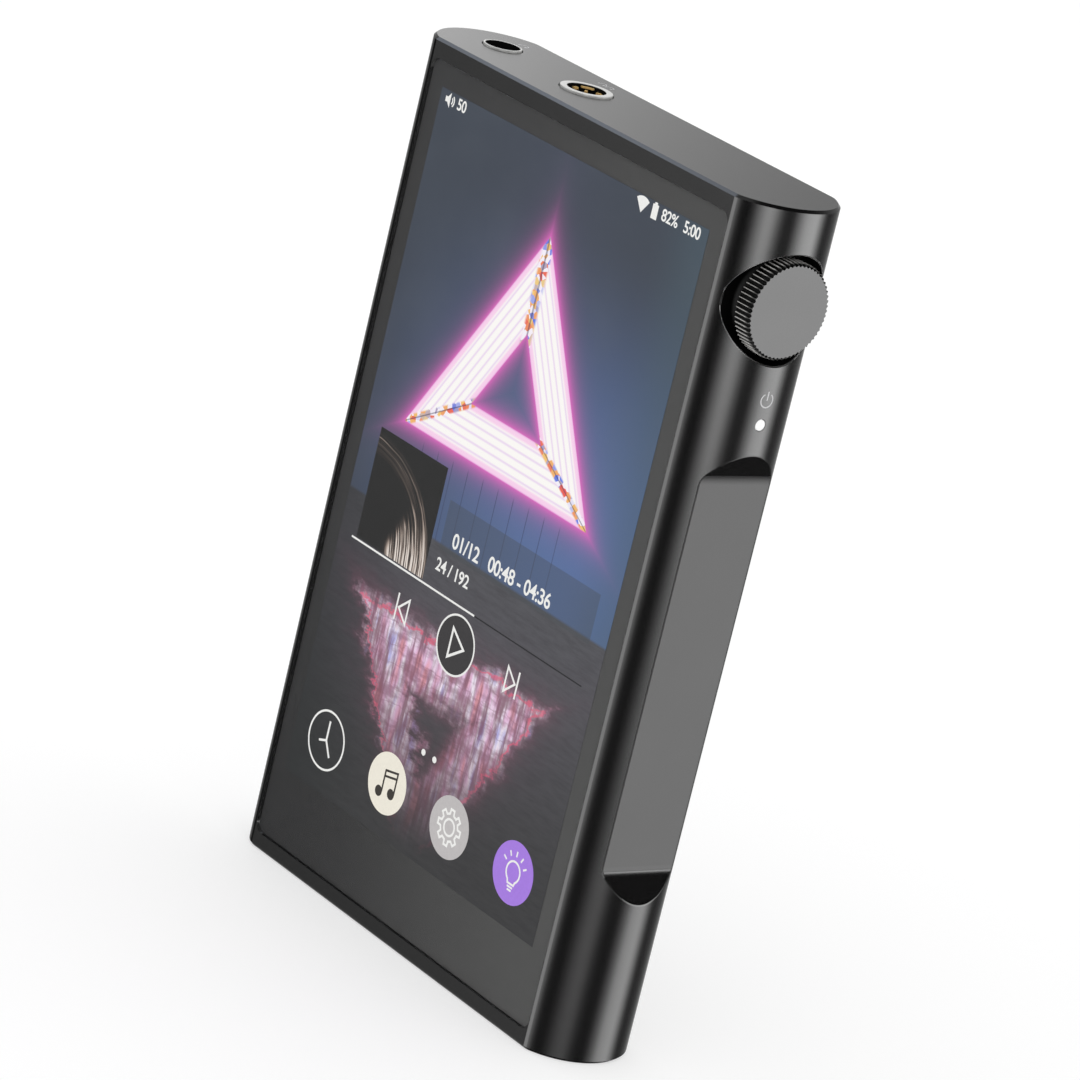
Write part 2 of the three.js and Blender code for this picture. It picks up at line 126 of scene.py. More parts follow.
def skin(rings, closed=False):
    """Rings of points joined one to the next. An open skin is capped; a closed one meets itself."""
    count = len(rings[0])
    points = [p for ring in rings for p in ring]
    faces = []
    for k in range(len(rings) if closed else len(rings) - 1):
        low, high = k * count, ((k + 1) % len(rings)) * count
        for i in range(count):
            j = (i + 1) % count
            faces.append((low + i, low + j, high + j, high + i))
    if not closed:
        faces.append(tuple(reversed(range(count))))
        faces.append(tuple(range(len(points) - count, len(points))))
    return points, faces


def merge(solids):
    points, faces = [], []
    for some_points, some_faces in solids:
        start = len(points)
        points += some_points
        faces += [tuple(i + start for i in face) for face in some_faces]
    return points, faces


def link(name, data):
    obj = bpy.data.objects.new(name, data)
    bpy.context.scene.collection.objects.link(obj)
    return obj


def make(name, solid):
    """A new object of that solid, with every face pointing outwards."""
    mesh = bpy.data.meshes.new(name)
    mesh.from_pydata([tuple(p) for p in solid[0]], [], solid[1])
    bm = bmesh.new()
    bm.from_mesh(mesh)
    bmesh.ops.recalc_face_normals(bm, faces=bm.faces)
    bm.to_mesh(mesh)
    bm.free()
    return link(name, mesh)


def along_x(y=0.0, z=0.0, side=1):
    return lambda u, v, h: Vector((side * h, y + u, z + v))


def along_y(x=0.0, z=0.0):
    return lambda u, v, h: Vector((x + u, h, z + v))


def along_z(x=0.0, y=0.0):
    return lambda u, v, h: Vector((x + u, y + v, h))


def prism(outline, levels, place):
    """outline(inset) gives (u, v) points; each level is (height, inset)."""
    return skin([[place(u, v, h) for u, v in outline(inset)] for h, inset in levels])


def circle(radius, steps=64):
    def outline(inset=0.0):
        angles = [2 * math.pi * i / steps for i in range(steps)]
        return [((radius - inset) * math.cos(a), (radius - inset) * math.sin(a)) for a in angles]

    return outline


def rounded(width, height, radius, steps=12):
    """A rounded rectangle, width along u and height along v."""

    def outline(inset=0.0):
        r = max(radius - inset, 0.02 * MM)
        u, v = width / 2 - inset - r, height / 2 - inset - r
        points = []
        for k, (cu, cv) in enumerate([(u, -v), (u, v), (-u, v), (-u, -v)]):
            for i in range(steps + 1):
                a = (k - 1 + i / steps) * math.pi / 2
                points.append((cu + r * math.cos(a), cv + r * math.sin(a)))
        return points

    return outline


def soft_end(height, radius, into, steps=5):
    """Levels that round a prism's edge at that height; into is the way into the solid, 1 or -1."""
    levels = []
    for i in range(steps + 1):
        a = i / steps * math.pi / 2
        levels.append((height + into * radius * (1 - math.sin(a)), radius * (1 - math.cos(a))))
    return levels


def soft_prism(outline, low, high, place, low_radius=0.0, high_radius=0.0):
    levels = list(reversed(soft_end(low, low_radius, 1))) if low_radius else [(low, 0)]
    levels += soft_end(high, high_radius, -1) if high_radius else [(high, 0)]
    return prism(outline, levels, place)


def turned(profile, place, steps=96):
    """A solid of revolution: profile is a closed loop of (radius, height)."""
    rings = []
    for i in range(steps):
        a = 2 * math.pi * i / steps
        rings.append([place(r * math.cos(a), r * math.sin(a), h) for r, h in profile])
    return skin(rings, closed=True)


def edge_break(edge, size=EDGE_BREAK):
    """A cutter that takes a small flat off a closed edge of (point, normal, other normal)."""
    rings = []
    for p, n, m in edge:
        a = (n * n.dot(m) - m).normalized() * size
        b = (m * n.dot(m) - n).normalized() * size
        rings.append([p + a, p + b, p - a, p - b])
    return skin(rings, closed=True)


def combine(obj, solids, operation="DIFFERENCE"):
    """Cuts the solids out of obj, or joins them to it, one after another."""
    for solid in solids:
        other = make("cutter", solid)
        modifier = obj.modifiers.new("cut", "BOOLEAN")
        modifier.operation = operation
        modifier.solver = "MANIFOLD"
        modifier.object = other
        bpy.context.view_layer.update()
        graph = bpy.context.evaluated_depsgraph_get()
        mesh = bpy.data.meshes.new_from_object(obj.evaluated_get(graph), depsgraph=graph)
        obj.modifiers.clear()
        old, obj.data = obj.data, mesh
        bpy.data.meshes.remove(old)
        bpy.data.objects.remove(other)
    bm = bmesh.new()
    bm.from_mesh(obj.data)
    bmesh.ops.remove_doubles(bm, verts=bm.verts, dist=0.0004 * MM)
    bmesh.ops.dissolve_degenerate(bm, edges=bm.edges, dist=0.0004 * MM)
    bm.to_mesh(obj.data)
    bm.free()
    return obj


def width_of(mesh, polygon):
    corners = [mesh.vertices[v].co for v in polygon.vertices]
    around = sum((a - b).length for a, b in zip(corners, corners[1:] + corners[:1]))
    return 2 * polygon.area / around


def shade(obj, angle=28, rounds=(), narrow=0.0):
    """Sets every corner's normal. A face on one of the round surfaces takes that surface's own
    normal; any other takes the area-weighted mean of the faces there within angle of it. A face
    less than narrow wide is an eased edge: its normals turn from one neighbour's to the other's.

    A round surface is (a point on its axis, the axis, its radius)."""
    mesh = obj.data
    limit = math.cos(math.radians(angle))
    rounds = [(Vector(p), Vector(d), r) for p, d, r in rounds]
    around = [[] for _ in mesh.vertices]
    for polygon in mesh.polygons:
        for v in polygon.vertices:
            around[v].append(polygon.index)
    flats = [p.normal.copy() for p in mesh.polygons]
    areas = [p.area for p in mesh.polygons]
    thin = [width_of(mesh, p) < narrow for p in mesh.polygons]
    normals = [None] * len(mesh.loops)
    for polygon in mesh.polygons:
        flat = flats[polygon.index]
        arms = None
        for point, axis, radius in rounds:
            offsets = [mesh.vertices[v].co - point for v in polygon.vertices]
            tried = [o - axis * o.dot(axis) for o in offsets]
            if all(abs(a.length - radius) < 0.006 * MM for a in tried):
                if all(abs(a.dot(flat)) > 0.99 * radius for a in tried):
                    arms = tried
                    break
        for k, loop in enumerate(polygon.loop_indices):
            if arms:
                normals[loop] = arms[k].normalized() * (1 if arms[k].dot(flat) > 0 else -1)
                continue
            total = Vector()
            least = -0.2 if thin[polygon.index] else limit
            for other in around[polygon.vertices[k]]:
                if flats[other].dot(flat) > least and not (thin[other] and least < 0):
                    total += flats[other] * areas[other]
            normals[loop] = total.normalized() if total.length > 1e-12 else flat
    mesh.shade_smooth()
    mesh.normals_split_custom_set([tuple(n) for n in normals])
    return obj


def add_piece(name, shape, material, replaces=(), angle=28, body="chassis"):
    """Makes a finished piece of a solid, or finishes an object that was cut already."""
    obj = shade(make(name, shape), angle) if isinstance(shape, tuple) else shape
    obj.data.materials.clear()
    obj.data.materials.append(material)
    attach(obj, body)
    if replaces:
        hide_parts(*replaces)
    return obj

# --- Material tools ---

class Nodes:
    """A short way to write a node tree."""

    def __init__(self, tree):
        self.tree = tree
        tree.nodes.clear()

    def add(self, kind, inputs=None, **settings):
        node = self.tree.nodes.new(kind)
        for key, value in settings.items():
            setattr(node, key, value)
        for key, value in (inputs or {}).items():
            self.feed(node.inputs[key], value)
        return node

    def feed(self, socket, value):
        if isinstance(value, Num):
            value = value.socket
        if isinstance(value, bpy.types.NodeSocket):
            self.tree.links.new(value, socket)
        elif isinstance(value, bpy.types.Node):
            self.tree.links.new(value.outputs[0], socket)
        else:
            socket.default_value = value

    def num(self, socket):
        return Num(self, socket)

    def axes(self, vector):
        split = self.add("ShaderNodeSeparateXYZ", {0: vector})
        return [self.num(socket) for socket in split.outputs]

    def mix(self, factor, a, b):
        node = self.add("ShaderNodeMix", data_type="RGBA")
        for index, value in ((0, factor), (6, a), (7, b)):
            self.feed(node.inputs[index], value)
        return node.outputs[2]

    def ramp(self, value, stops):
        node = self.add("ShaderNodeValToRGB", {0: value})
        elements = node.color_ramp.elements
        while len(elements) < len(stops):
            elements.new(0.5)
        for element, (position, colour) in zip(elements, stops):
            element.position = position
            element.color = colour
        return node.outputs[0]

    def noise(self, scale, vector=None, detail=2.0, roughness=0.5, stretch=None):
        if stretch:
            vector = self.add("ShaderNodeMapping", {"Vector": vector, "Scale": stretch}).outputs[0]
        inputs = {"Scale": scale, "Detail": detail, "Roughness": roughness}
        if vector is not None:
            inputs["Vector"] = vector
        return self.num(self.add("ShaderNodeTexNoise", inputs).outputs[0])

    def bump(self, height, distance, strength=0.6):
        inputs = {"Height": height, "Distance": distance, "Strength": strength}
        return self.add("ShaderNodeBump", inputs).outputs[0]


class Num:
    """A number in a node tree, so that shader arithmetic reads like ordinary arithmetic."""

    def __init__(self, nodes, socket):
        self.nodes, self.socket = nodes, socket

    def op(self, operation, *others):
        node = self.nodes.add("ShaderNodeMath", operation=operation)
        for index, value in enumerate((self, *others)):
            self.nodes.feed(node.inputs[index], value)
        return Num(self.nodes, node.outputs[0])

    def __add__(self, other):
        return self.op("ADD", other)

    def __sub__(self, other):
        return self.op("SUBTRACT", other)

    def __mul__(self, other):
        return self.op("MULTIPLY", other)

    def minus_from(self, other):
        return self.op("MULTIPLY", -1.0) + other

    def size(self):
        return self.op("ABSOLUTE")

    def most(self, other):
        return self.op("MAXIMUM", other)

    def least(self, other):
        return self.op("MINIMUM", other)

    def power(self, other):
        return self.op("POWER", other)

    def part(self):
        return self.op("FRACT")

    def step(self, low, high):
        """0 at low and 1 at high, smoothly; low may be the larger."""
        node = self.nodes.add("ShaderNodeMapRange", interpolation_type="SMOOTHSTEP")
        for key, value in (("Value", self), ("From Min", low), ("From Max", high)):
            self.nodes.feed(node.inputs[key], value)
        return Num(self.nodes, node.outputs[0])


def rgb(*levels):
    return (*levels, 1.0) if len(levels) == 3 else (levels[0], levels[0], levels[0], 1.0)


def blank(name):
    material = bpy.data.materials.new(name)
    material.use_nodes = True
    return material, Nodes(material.node_tree)


def principled(name, **sockets):
    """A new material, with its nodes, a way to feed its sockets by name, and the place shaded."""
    material, nodes = blank(name)
    shader = nodes.add("ShaderNodeBsdfPrincipled")
    nodes.add("ShaderNodeOutputMaterial", {"Surface": shader})

    def put(**sockets):
        for key, value in sockets.items():
            nodes.feed(shader.inputs[key.replace("_", " ")], value)

    put(**sockets)
    return material, nodes, put, nodes.add("ShaderNodeTexCoord").outputs["Object"]


def anodised(name, level, roughness, grain=1.0):
    """Bead-blasted, anodised aluminium: a dull metal with a very fine grain."""
    material, nodes, put, place = principled(name, Metallic=1.0)
    fine = nodes.noise(7000.0, place, 3.0, 0.6)
    broad = nodes.noise(140.0, place)
    shift = (fine * (0.3 * grain) + (1 - 0.15 * grain)) * (broad * 0.06 + 0.97)
    put(Base_Color=nodes.mix(shift * 0.8, rgb(0.0), rgb(level * 1.25)))
    put(Roughness=fine * (0.1 * grain) + (roughness - 0.05 * grain))
    put(Normal=nodes.bump(fine, 0.0035 * MM * grain))
    return material


def from_knob_axis(nodes, place):
    """How far out along the knob's axis a point is, and how far from that axis."""
    x, y, z = nodes.axes(place)
    y, z = y - KNOB_Y, z - KNOB_Z
    return x, (y * y + z * z).power(0.5)


def knurled():
    """The knob's teeth: a painted highlight along their crests, weaker near the face, and painted
    shade in their roots.
    """
    material, nodes, put, place = principled("knurled_rim")
    x, radius = from_knob_axis(nodes, place)
    crest = radius.step(KNOB_RADIUS - 0.20 * MM, KNOB_RADIUS - 0.03 * MM)
    crest = crest * (x.step(KNOB_HIGH.x - 0.35 * MM, KNOB_HIGH.x - 0.8 * MM) * 0.75 + 0.25)
    fine = nodes.noise(4000.0, place, 3.0)
    # Painted light: the crests' highlight and the roots' shade are set in the base colour.
    wear_and_painted_light = nodes.mix(crest * (fine * 0.4 + 0.8), rgb(0.003), rgb(0.62, 0.61, 0.59))
    put(Base_Color=wear_and_painted_light)
    put(Roughness=fine * 0.1 + 0.35)
    return material


def painted_pocket_floor():
    """The knob pocket's floor in dull black, painted shade, with a painted reflection that makes it a
    little paler under the knob.
    """
    material, nodes, put, place = principled("painted_pocket_floor", Roughness=0.6, Specular_IOR_Level=0.1)
    _, radius = from_knob_axis(nodes, place)
    fine = nodes.noise(5000.0, place, 2.0)
    # Painted reflection under the knob; the band out by the pocket's wall stays dark, as painted
    # shade.
    pale = radius.step(5.2 * MM, 4.5 * MM) * (fine * 0.3 + 0.85)
    put(Base_Color=nodes.mix(pale, rgb(0.002), rgb(0.07)))
    return material


def plastic(name, colour, roughness, bump=0.01, scale=2600.0, specular=0.5):
    material, nodes, put, place = principled(name, Specular_IOR_Level=specular)
    fine = nodes.noise(scale, place, 3.0, 0.6)
    broad = nodes.noise(scale / 30, place)
    dark, light = (rgb(*(c * k for c in colour)) for k in (0.78, 1.22))
    put(Base_Color=nodes.mix(fine * 0.6 + broad * 0.4, dark, light))
    put(Roughness=fine * 0.14 + (roughness - 0.07))
    put(Normal=nodes.bump(fine, bump * MM))
    return material


def border():
    """Black print under the glass, with painted reflection in it: paler towards the knob side, most of
    all low down, and elsewhere darker at the bottom.
    """
    material, nodes, put, place = principled("display_border", Roughness=0.6, Specular_IOR_Level=0.1)
    x, _, z = nodes.axes(place)
    # Painted reflection: paler towards the knob side and low down.
    pale = x.step(-29 * MM, 33 * MM) * (z.step(0.11, 0.0) * 0.35 + 0.65)
    fine = nodes.noise(9000.0, place, 2.0)
    # Painted shade: darker at the bottom than higher up.
    dark = nodes.mix(z.step(0.0, 0.05), rgb(0.040, 0.040, 0.041), rgb(0.054, 0.054, 0.055))
    level = nodes.mix(pale, dark, rgb(0.107, 0.107, 0.106))
    put(Base_Color=nodes.mix(fine * 0.16, level, rgb(0.03)))
    return material


def plated(name, colour, roughness, metallic=1.0):
    """Polished plating with faint wear."""
    material, nodes, put, place = principled(name, Metallic=metallic)
    wear = nodes.noise(900.0, place, 4.0, 0.6)
    wear_and_painted_light = nodes.mix(wear, rgb(*(c * 0.84 for c in colour)), rgb(*colour))
    put(Base_Color=wear_and_painted_light)
    put(Roughness=wear * 0.14 + (roughness - 0.05))
    return material


def glowing(name, base, strength=1.0):
    sockets = {"Base_Color": base, "Roughness": 0.5, "Specular_IOR_Level": 0.1}
    return principled(name, Emission_Strength=strength, **sockets)


def lit(name, colour):
    """A part of the picture on the display, or a lamp: it gives its own light, a little uneven."""
    base = rgb(*(c * 0.1 for c in colour))
    material, nodes, put, place = glowing(name, base)
    uneven = nodes.noise(3000.0, place, 1.0)
    full = nodes.mix(uneven, rgb(*(c * 0.94 for c in colour)), rgb(*(c * 1.06 for c in colour)))
    put(Emission_Color=full)
    return material


def circuit_board():
    """Dark green solder mask over faint straight tracks."""
    material, nodes, put, place = principled("circuit_board", Roughness=0.4)
    tracks = nodes.add(
        "ShaderNodeTexBrick",
        {"Vector": place, "Scale": 220.0, "Mortar Size": 0.03, "Brick Width": 0.9, "Row Height": 0.2},
    )
    fine = nodes.noise(900.0, place)
    mask = nodes.mix(tracks.outputs["Fac"], rgb(0.008, 0.045, 0.03), rgb(0.02, 0.09, 0.05))
    put(Base_Color=nodes.mix(fine * 0.3, mask, rgb(0.004, 0.02, 0.015)))
    put(Normal=nodes.bump(tracks.outputs["Fac"], 0.02 * MM, 0.4))
    return material


def clear_glass():
    """Thin clear glass: the picture shows straight through it, under its surface reflection."""
    material, nodes = blank("cover_glass")
    place = nodes.add("ShaderNodeTexCoord").outputs["Object"]
    smear = nodes.noise(60.0, place, 3.0)
    clear = nodes.add("ShaderNodeBsdfTransparent", {"Color": rgb(0.99)})
    gloss = nodes.add("ShaderNodeBsdfGlossy", {"Color": rgb(1.0), "Roughness": smear * 0.02 + 0.01})
    outer = nodes.num(nodes.add("ShaderNodeNewGeometry").outputs["Backfacing"]).minus_from(1.0)
    share = nodes.num(nodes.add("ShaderNodeFresnel", {"IOR": 1.5}).outputs[0]) * outer
    mixed = nodes.add("ShaderNodeMixShader", {0: share, 1: clear, 2: gloss})
    nodes.add("ShaderNodeOutputMaterial", {"Surface": mixed})
    return material


CASE_METAL = anodised("case_metal", 0.2, 0.2)
SCOOP_METAL = anodised("scoop_metal", 0.212, 0.46)
# A pale copy of the case metal for the narrow rim round the knob's pocket: a painted highlight.
RIM_HIGHLIGHT = anodised("rim_highlight_metal", 0.9, 0.35)
KNOB_METAL = anodised("knob_metal", 0.25, 0.4, 0.8)
# A paler copy of the knob metal for the chamfer round its face: a painted highlight.
KNOB_EDGE_HIGHLIGHT = anodised("knob_edge_highlight", 0.36, 0.4, 0.8)
KNURL = knurled()
BUTTON_METAL = anodised("button_metal", 0.22, 0.32, 0.8)
SILVER = plated("ring_silver", (0.93, 0.93, 0.91), 0.16, 0.45)
STEEL = plated("steel", (0.56, 0.56, 0.58), 0.26)
GOLD = plated("contact_gold", (0.98, 0.66, 0.26), 0.3, 0.3)
BLACK = plastic("black_plastic", (0.012, 0.012, 0.013), 0.55)
# Dull black that stands for shade: painted shade on the knob pocket's walls and inside the jack rings.
PAINTED_RECESS_SHADE = plastic("painted_recess_shade", (0.005, 0.005, 0.005), 0.7, specular=0.05)
# The pocket floor: painted shade, with a painted reflection under the knob.
PAINTED_POCKET_FLOOR = painted_pocket_floor()
PRINT = plastic("grey_print", (0.62, 0.62, 0.63), 0.6)
WHITE_LENS = lit("lens_white", (0.9, 0.9, 0.9))
GLASS = clear_glass()
BORDER = border()
COVER = plastic("rear_cover_black", (0.016, 0.016, 0.018), 0.3, 0.004)
BOARD = circuit_board()
CHIP = plastic("chip_black", (0.02, 0.02, 0.021), 0.5)
WRAP = plastic("battery_wrap", (0.05, 0.05, 0.055), 0.45, 0.02, 900.0)
FLEX = plastic("flex_film", (0.28, 0.14, 0.03), 0.35)

# --- Case ---

def side_x(y):
    """How far out the case's side is at that y, on the right; the left is its mirror image."""
    return SIDE_X + math.sqrt(SIDE_RADIUS**2 - (y - SIDE_Y) ** 2)


def side_normal(y, side=1):
    return Vector((side * (side_x(y) - SIDE_X), y - SIDE_Y, 0)).normalized()


def on_side(side=1, y=0.0, z=0.0):
    """Places (u, v) on the curved side, with h above it."""

    def place(u, v, h):
        at = y + u
        return Vector((side * side_x(at), at, z + v)) + side_normal(at, side) * h

    return place


def case_outline(inset):
    """The case's section: two flats joined by arcs, with a small chamfer where they meet."""
    radius = SIDE_RADIUS - inset
    front, back = FRONT + inset, BACK - inset
    start = math.asin((front - SIDE_Y) / radius)
    end = math.asin((back - SIDE_Y) / radius)
    step = SIDE_CHAMFER / SIDE_RADIUS
    right = [(SIDE_X + radius * math.cos(start) - SIDE_CHAMFER, front)]
    for i in range(SIDE_STEPS + 1):
        a = start + step + (end - start - 2 * step) * i / SIDE_STEPS
        right.append((SIDE_X + radius * math.cos(a), SIDE_Y + radius * math.sin(a)))
    right.append((SIDE_X + radius * math.cos(end) - SIDE_CHAMFER, back))
    return right + [(-x, y) for x, y in reversed(right)]


def scoop_end():
    """From the scoop's floor up its head ramp, as (x, z, the surface's own normal)."""
    tangent = SCOOP_FILLET * math.tan(SCOOP_SLOPE / 2)
    points = []
    for i in range(17):
        a = SCOOP_SLOPE * i / 16
        x = SCOOP_X + SCOOP_FILLET * (1 - math.cos(a))
        z = SCOOP_HIGH - tangent + SCOOP_FILLET * math.sin(a)
        points.append((x, z, Vector((math.cos(a), 0, -math.sin(a)))))
    x0, z0, normal = points[-1]
    first = math.acos((x0 - SIDE_X) / SIDE_RADIUS)
    for i in range(1, 33):
        x = SIDE_X + SIDE_RADIUS * math.cos(first * (1 - i / 32))
        points.append((x, z0 + (x - x0) / math.tan(SCOOP_SLOPE), normal))
    return points


def scoop_cut():
    head = [(x, z) for x, z, _ in scoop_end()]
    reach = 3 * MM
    head.append((HALF + reach, head[-1][1] + reach / math.tan(SCOOP_SLOPE)))
    foot = [(x, SCOOP_LOW + SCOOP_HIGH - z) for x, z in reversed(head)]
    sides = (FRONT - 2 * MM, BACK + 2 * MM)
    return skin([[Vector((x, y, z)) for x, z in foot + head] for y in sides])


def scoop_edge():
    """The closed edge where the scoop meets the curved side."""

    def run(flip, side):
        edge = []
        for x, z, normal in scoop_end():
            y = SIDE_Y + side * math.sqrt(max(SIDE_RADIUS**2 - (x - SIDE_X) ** 2, 0.0))
            z = SCOOP_LOW + SCOOP_HIGH - z if flip else z
            normal = Vector((normal.x, 0, -normal.z if flip else normal.z))
            edge.append((Vector((x, y, z)), side_normal(y), normal))
        return edge

    head, head_back = run(False, -1), run(False, 1)
    foot, foot_back = run(True, -1), run(True, 1)
    return head + head_back[-2::-1] + foot_back + foot[-2::-1]


def hole_edge(outline, place, surface_normal):
    """The closed edge of a hole with that (u, v) outline; the hole's wall faces its middle."""
    count = len(outline)
    edge = []
    for i, (u, v) in enumerate(outline):
        before, after = outline[i - 1], outline[(i + 1) % count]
        tangent = Vector((after[0] - before[0], after[1] - before[1]))
        p = place(u, v, 0.0)
        ahead = place(u + tangent.x * 0.01, v + tangent.y * 0.01, 0.0) - p
        normal = surface_normal(p)
        wall = ahead.cross(normal).normalized()
        inner = place(u * 0.98, v * 0.98, 0.0) - p
        edge.append((p, normal, wall if wall.dot(inner) > 0 else -wall))
    return edge


def side_hole_edge(outline, y, z, side):
    return hole_edge(outline, on_side(side, y, z), lambda p: side_normal(p.y, side))


def jack_rings():
    for name in ("headphone_jack_ring", "balanced_jack_ring"):
        low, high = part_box(name)
        yield name, (low + high) / 2, (high.x - low.x) / 2


def button_outline(gap=0.0):
    return rounded(BUTTON_WIDE + 2 * gap, BUTTON_LONG + 2 * gap, BUTTON_WIDE / 2 + gap, 14)


def build_case():
    ends = [(0, END_CHAMFER), (END_CHAMFER, 0), (TOP - END_CHAMFER, 0), (TOP, END_CHAMFER)]
    case = make("case_body", prism(case_outline, ends, along_z()))
    wide, tall = GLASS_WIDE + 2 * GLASS_GAP, GLASS_TALL + 2 * GLASS_GAP
    pocket = rounded(wide, tall, GLASS_CORNER + GLASS_GAP, 20)
    cuts = [prism(pocket, [(FRONT - MM, 0), (FRONT + POCKET_DEPTH, 0)], along_y(z=GLASS_Z))]
    for (wide, foot, head), start, end in (
        (DISPLAY_BAY, FRONT + MM, BAY_START + 0.5 * MM),
        (MAIN_BAY, BAY_START, BAY_END),
    ):
        bay = rounded(wide, head - foot, 0.8 * MM, 4)
        cuts.append(prism(bay, [(start, 0), (end, 0)], along_y(z=(foot + head) / 2)))
    wide, tall = COVER_WIDE + 2 * COVER_GAP, COVER_TALL + 2 * COVER_GAP
    recess = rounded(wide, tall, COVER_CORNER + COVER_GAP, 20)
    opening = rounded(COVER_WIDE - 2 * COVER_LEDGE, COVER_TALL - 2 * COVER_LEDGE, COVER_CORNER, 8)
    at_cover = along_y(z=COVER_Z)
    cuts.append(prism(opening, [(BAY_END - 0.5 * MM, 0), (BACK + MM, 0)], at_cover))
    cuts.append(prism(recess, [(COVER_FLOOR, 0), (BACK + MM, 0)], at_cover))

    cuts += [scoop_cut(), edge_break(scoop_edge())]
    bore = circle(KNOB_POCKET, 160)
    at_knob = along_x(KNOB_Y, KNOB_Z)
    cuts.append(prism(bore, [(POCKET_FLOOR_X, 0), (HALF + MM, 0)], at_knob))
    cuts.append(edge_break(side_hole_edge(bore(), KNOB_Y, KNOB_Z, 1), 0.16 * MM))
    inner_wall = MAIN_BAY[0] / 2 - 0.5 * MM
    cuts.append(prism(circle(SHAFT_HOLE), [(inner_wall, 0), (HALF, 0)], at_knob))
    light = circle(LIGHT_RADIUS + 0.1 * MM, 40)
    cuts.append(prism(light, [(inner_wall, 0), (HALF + MM, 0)], along_x(LIGHT_Y, LIGHT_Z)))

    for name in BUTTONS:
        low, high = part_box(name)
        z = (low.z + high.z) / 2
        outline = button_outline(BUTTON_GAP)
        at_button = along_x(SIDE_Y, z, -1)
        cuts.append(prism(outline, [(inner_wall, 0), (HALF + MM, 0)], at_button))
        cuts.append(edge_break(side_hole_edge(outline(), SIDE_Y, z, -1)))
    card = middle("card_socket")
    slot_outline = rounded(*CARD_SLOT, 0.4 * MM, 8)
    at_card = along_x(SIDE_Y, card.z, -1)
    cuts.append(prism(slot_outline, [(inner_wall, 0), (HALF + MM, 0)], at_card))
    cuts.append(edge_break(side_hole_edge(slot_outline(), SIDE_Y, card.z, -1), 0.1 * MM))

    up = Vector((0, 0, 1))
    for _, centre, radius in jack_rings():
        hole = circle(radius + RING_GAP, 96)
        at_jack = along_z(centre.x, centre.y)
        cuts.append(prism(hole, [(MAIN_BAY[2] - MM, 0), (TOP + MM, 0)], at_jack))
        top = [(u + centre.x, v + centre.y) for u, v in hole()]
        edge = [
            (Vector((x, y, TOP)), up, Vector((centre.x - x, centre.y - y, 0)).normalized())
            for x, y in top
        ]
        cuts.append(edge_break(edge, 0.08 * MM))
    wide, deep = PORT_WIDE + 2 * PORT_GAP, PORT_DEEP + 2 * PORT_GAP
    port = rounded(wide, deep, deep / 2 - 0.03 * MM, 14)
    cuts.append(prism(port, [(-MM, 0), (MAIN_BAY[1] + MM, 0)], along_z(0, SIDE_Y)))
    edge = hole_edge(port(), lambda u, v, h: Vector((u, SIDE_Y + v, h)), lambda p: -up)
    cuts.append(edge_break(edge, 0.15 * MM))
    for name in SCREWS:
        at_screw = along_z(middle(name).x, SIDE_Y)
        cuts.append(prism(circle(SCREW_RADIUS + 0.25 * MM), [(-MM, 0), (1.5 * MM, 0)], at_screw))
        cuts.append(prism(circle(MM), [(MM, 0), (MAIN_BAY[1] + MM, 0)], at_screw))
    combine(case, cuts)
    rounds = [
        ((SIDE_X, SIDE_Y, 0), (0, 0, 1), SIDE_RADIUS),
        ((-SIDE_X, SIDE_Y, 0), (0, 0, 1), SIDE_RADIUS),
        ((0, KNOB_Y, KNOB_Z), (1, 0, 0), KNOB_POCKET),
    ]
    shade(case, 8, rounds, EDGE_BREAK * 0.95)
    add_piece("case_body", case, CASE_METAL, ["chassis"])
    for material in (SCOOP_METAL, PAINTED_RECESS_SHADE, PAINTED_POCKET_FLOOR, RIM_HIGHLIGHT):
        case.data.materials.append(material)
    scoop_x = SCOOP_X + 0.32 * MM
    for polygon in case.data.polygons:
        x, y, z = polygon.center
        away = math.hypot(y - KNOB_Y, z - KNOB_Z)
        faces_out = SCOOP_X - 0.1 * MM < x < scoop_x and polygon.normal.x > 0.8
        if faces_out and SCOOP_LOW < z < SCOOP_HIGH + MM:
            polygon.material_index = 1
        # The pocket's floor and walls take dull black, painted shade; the floor has a painted
        # reflection under the knob.
        elif x > POCKET_FLOOR_X - 0.01 * MM and away < KNOB_POCKET:
            polygon.material_index = 3 if polygon.normal.x > 0.9 else 2
        # The narrow faces round the pocket's mouth take the pale rim copy, a painted highlight.
        elif x > POCKET_FLOOR_X and away < KNOB_POCKET + 0.2 * MM:
            if width_of(case.data, polygon) < 0.3 * MM:
                polygon.material_index = 4


build_case()

# --- Front glass, rear cover ---

PANE_BACK = FRONT + 0.30 * MM
OVER_Y = FRONT + 0.315 * MM
ICON_Y = FRONT + 0.335 * MM
ART_Y = FRONT + 0.355 * MM
IMAGE_Y = FRONT + 0.38 * MM
BORDER_Y = FRONT + 0.41 * MM
BORDER_INSET = 0.04 * MM


def build_front():
    at_glass = along_y(z=GLASS_Z)
    outline = rounded(GLASS_WIDE, GLASS_TALL, GLASS_CORNER, 20)
    pane = soft_prism(outline, FRONT, PANE_BACK, at_glass, 0.06 * MM)
    add_piece("front_glass_pane", pane, GLASS, ["front_glass"])
    inner = rounded(GLASS_WIDE - BORDER_INSET, GLASS_TALL - BORDER_INSET, GLASS_CORNER, 20)
    border = prism(inner, [(BORDER_Y, 0), (GLASS_HIGH.y, 0)], at_glass)
    add_piece("display_border", border, BORDER)


def build_back():
    outline = rounded(COVER_WIDE, COVER_TALL, COVER_CORNER, 20)
    cover = soft_prism(outline, COVER_LOW.y, COVER_HIGH.y, along_y(z=COVER_Z), 0, 0.45 * MM)
    add_piece("back_panel", cover, COVER, ["rear_cover"])


build_front()
build_back()

# --- Knob, light, buttons ---

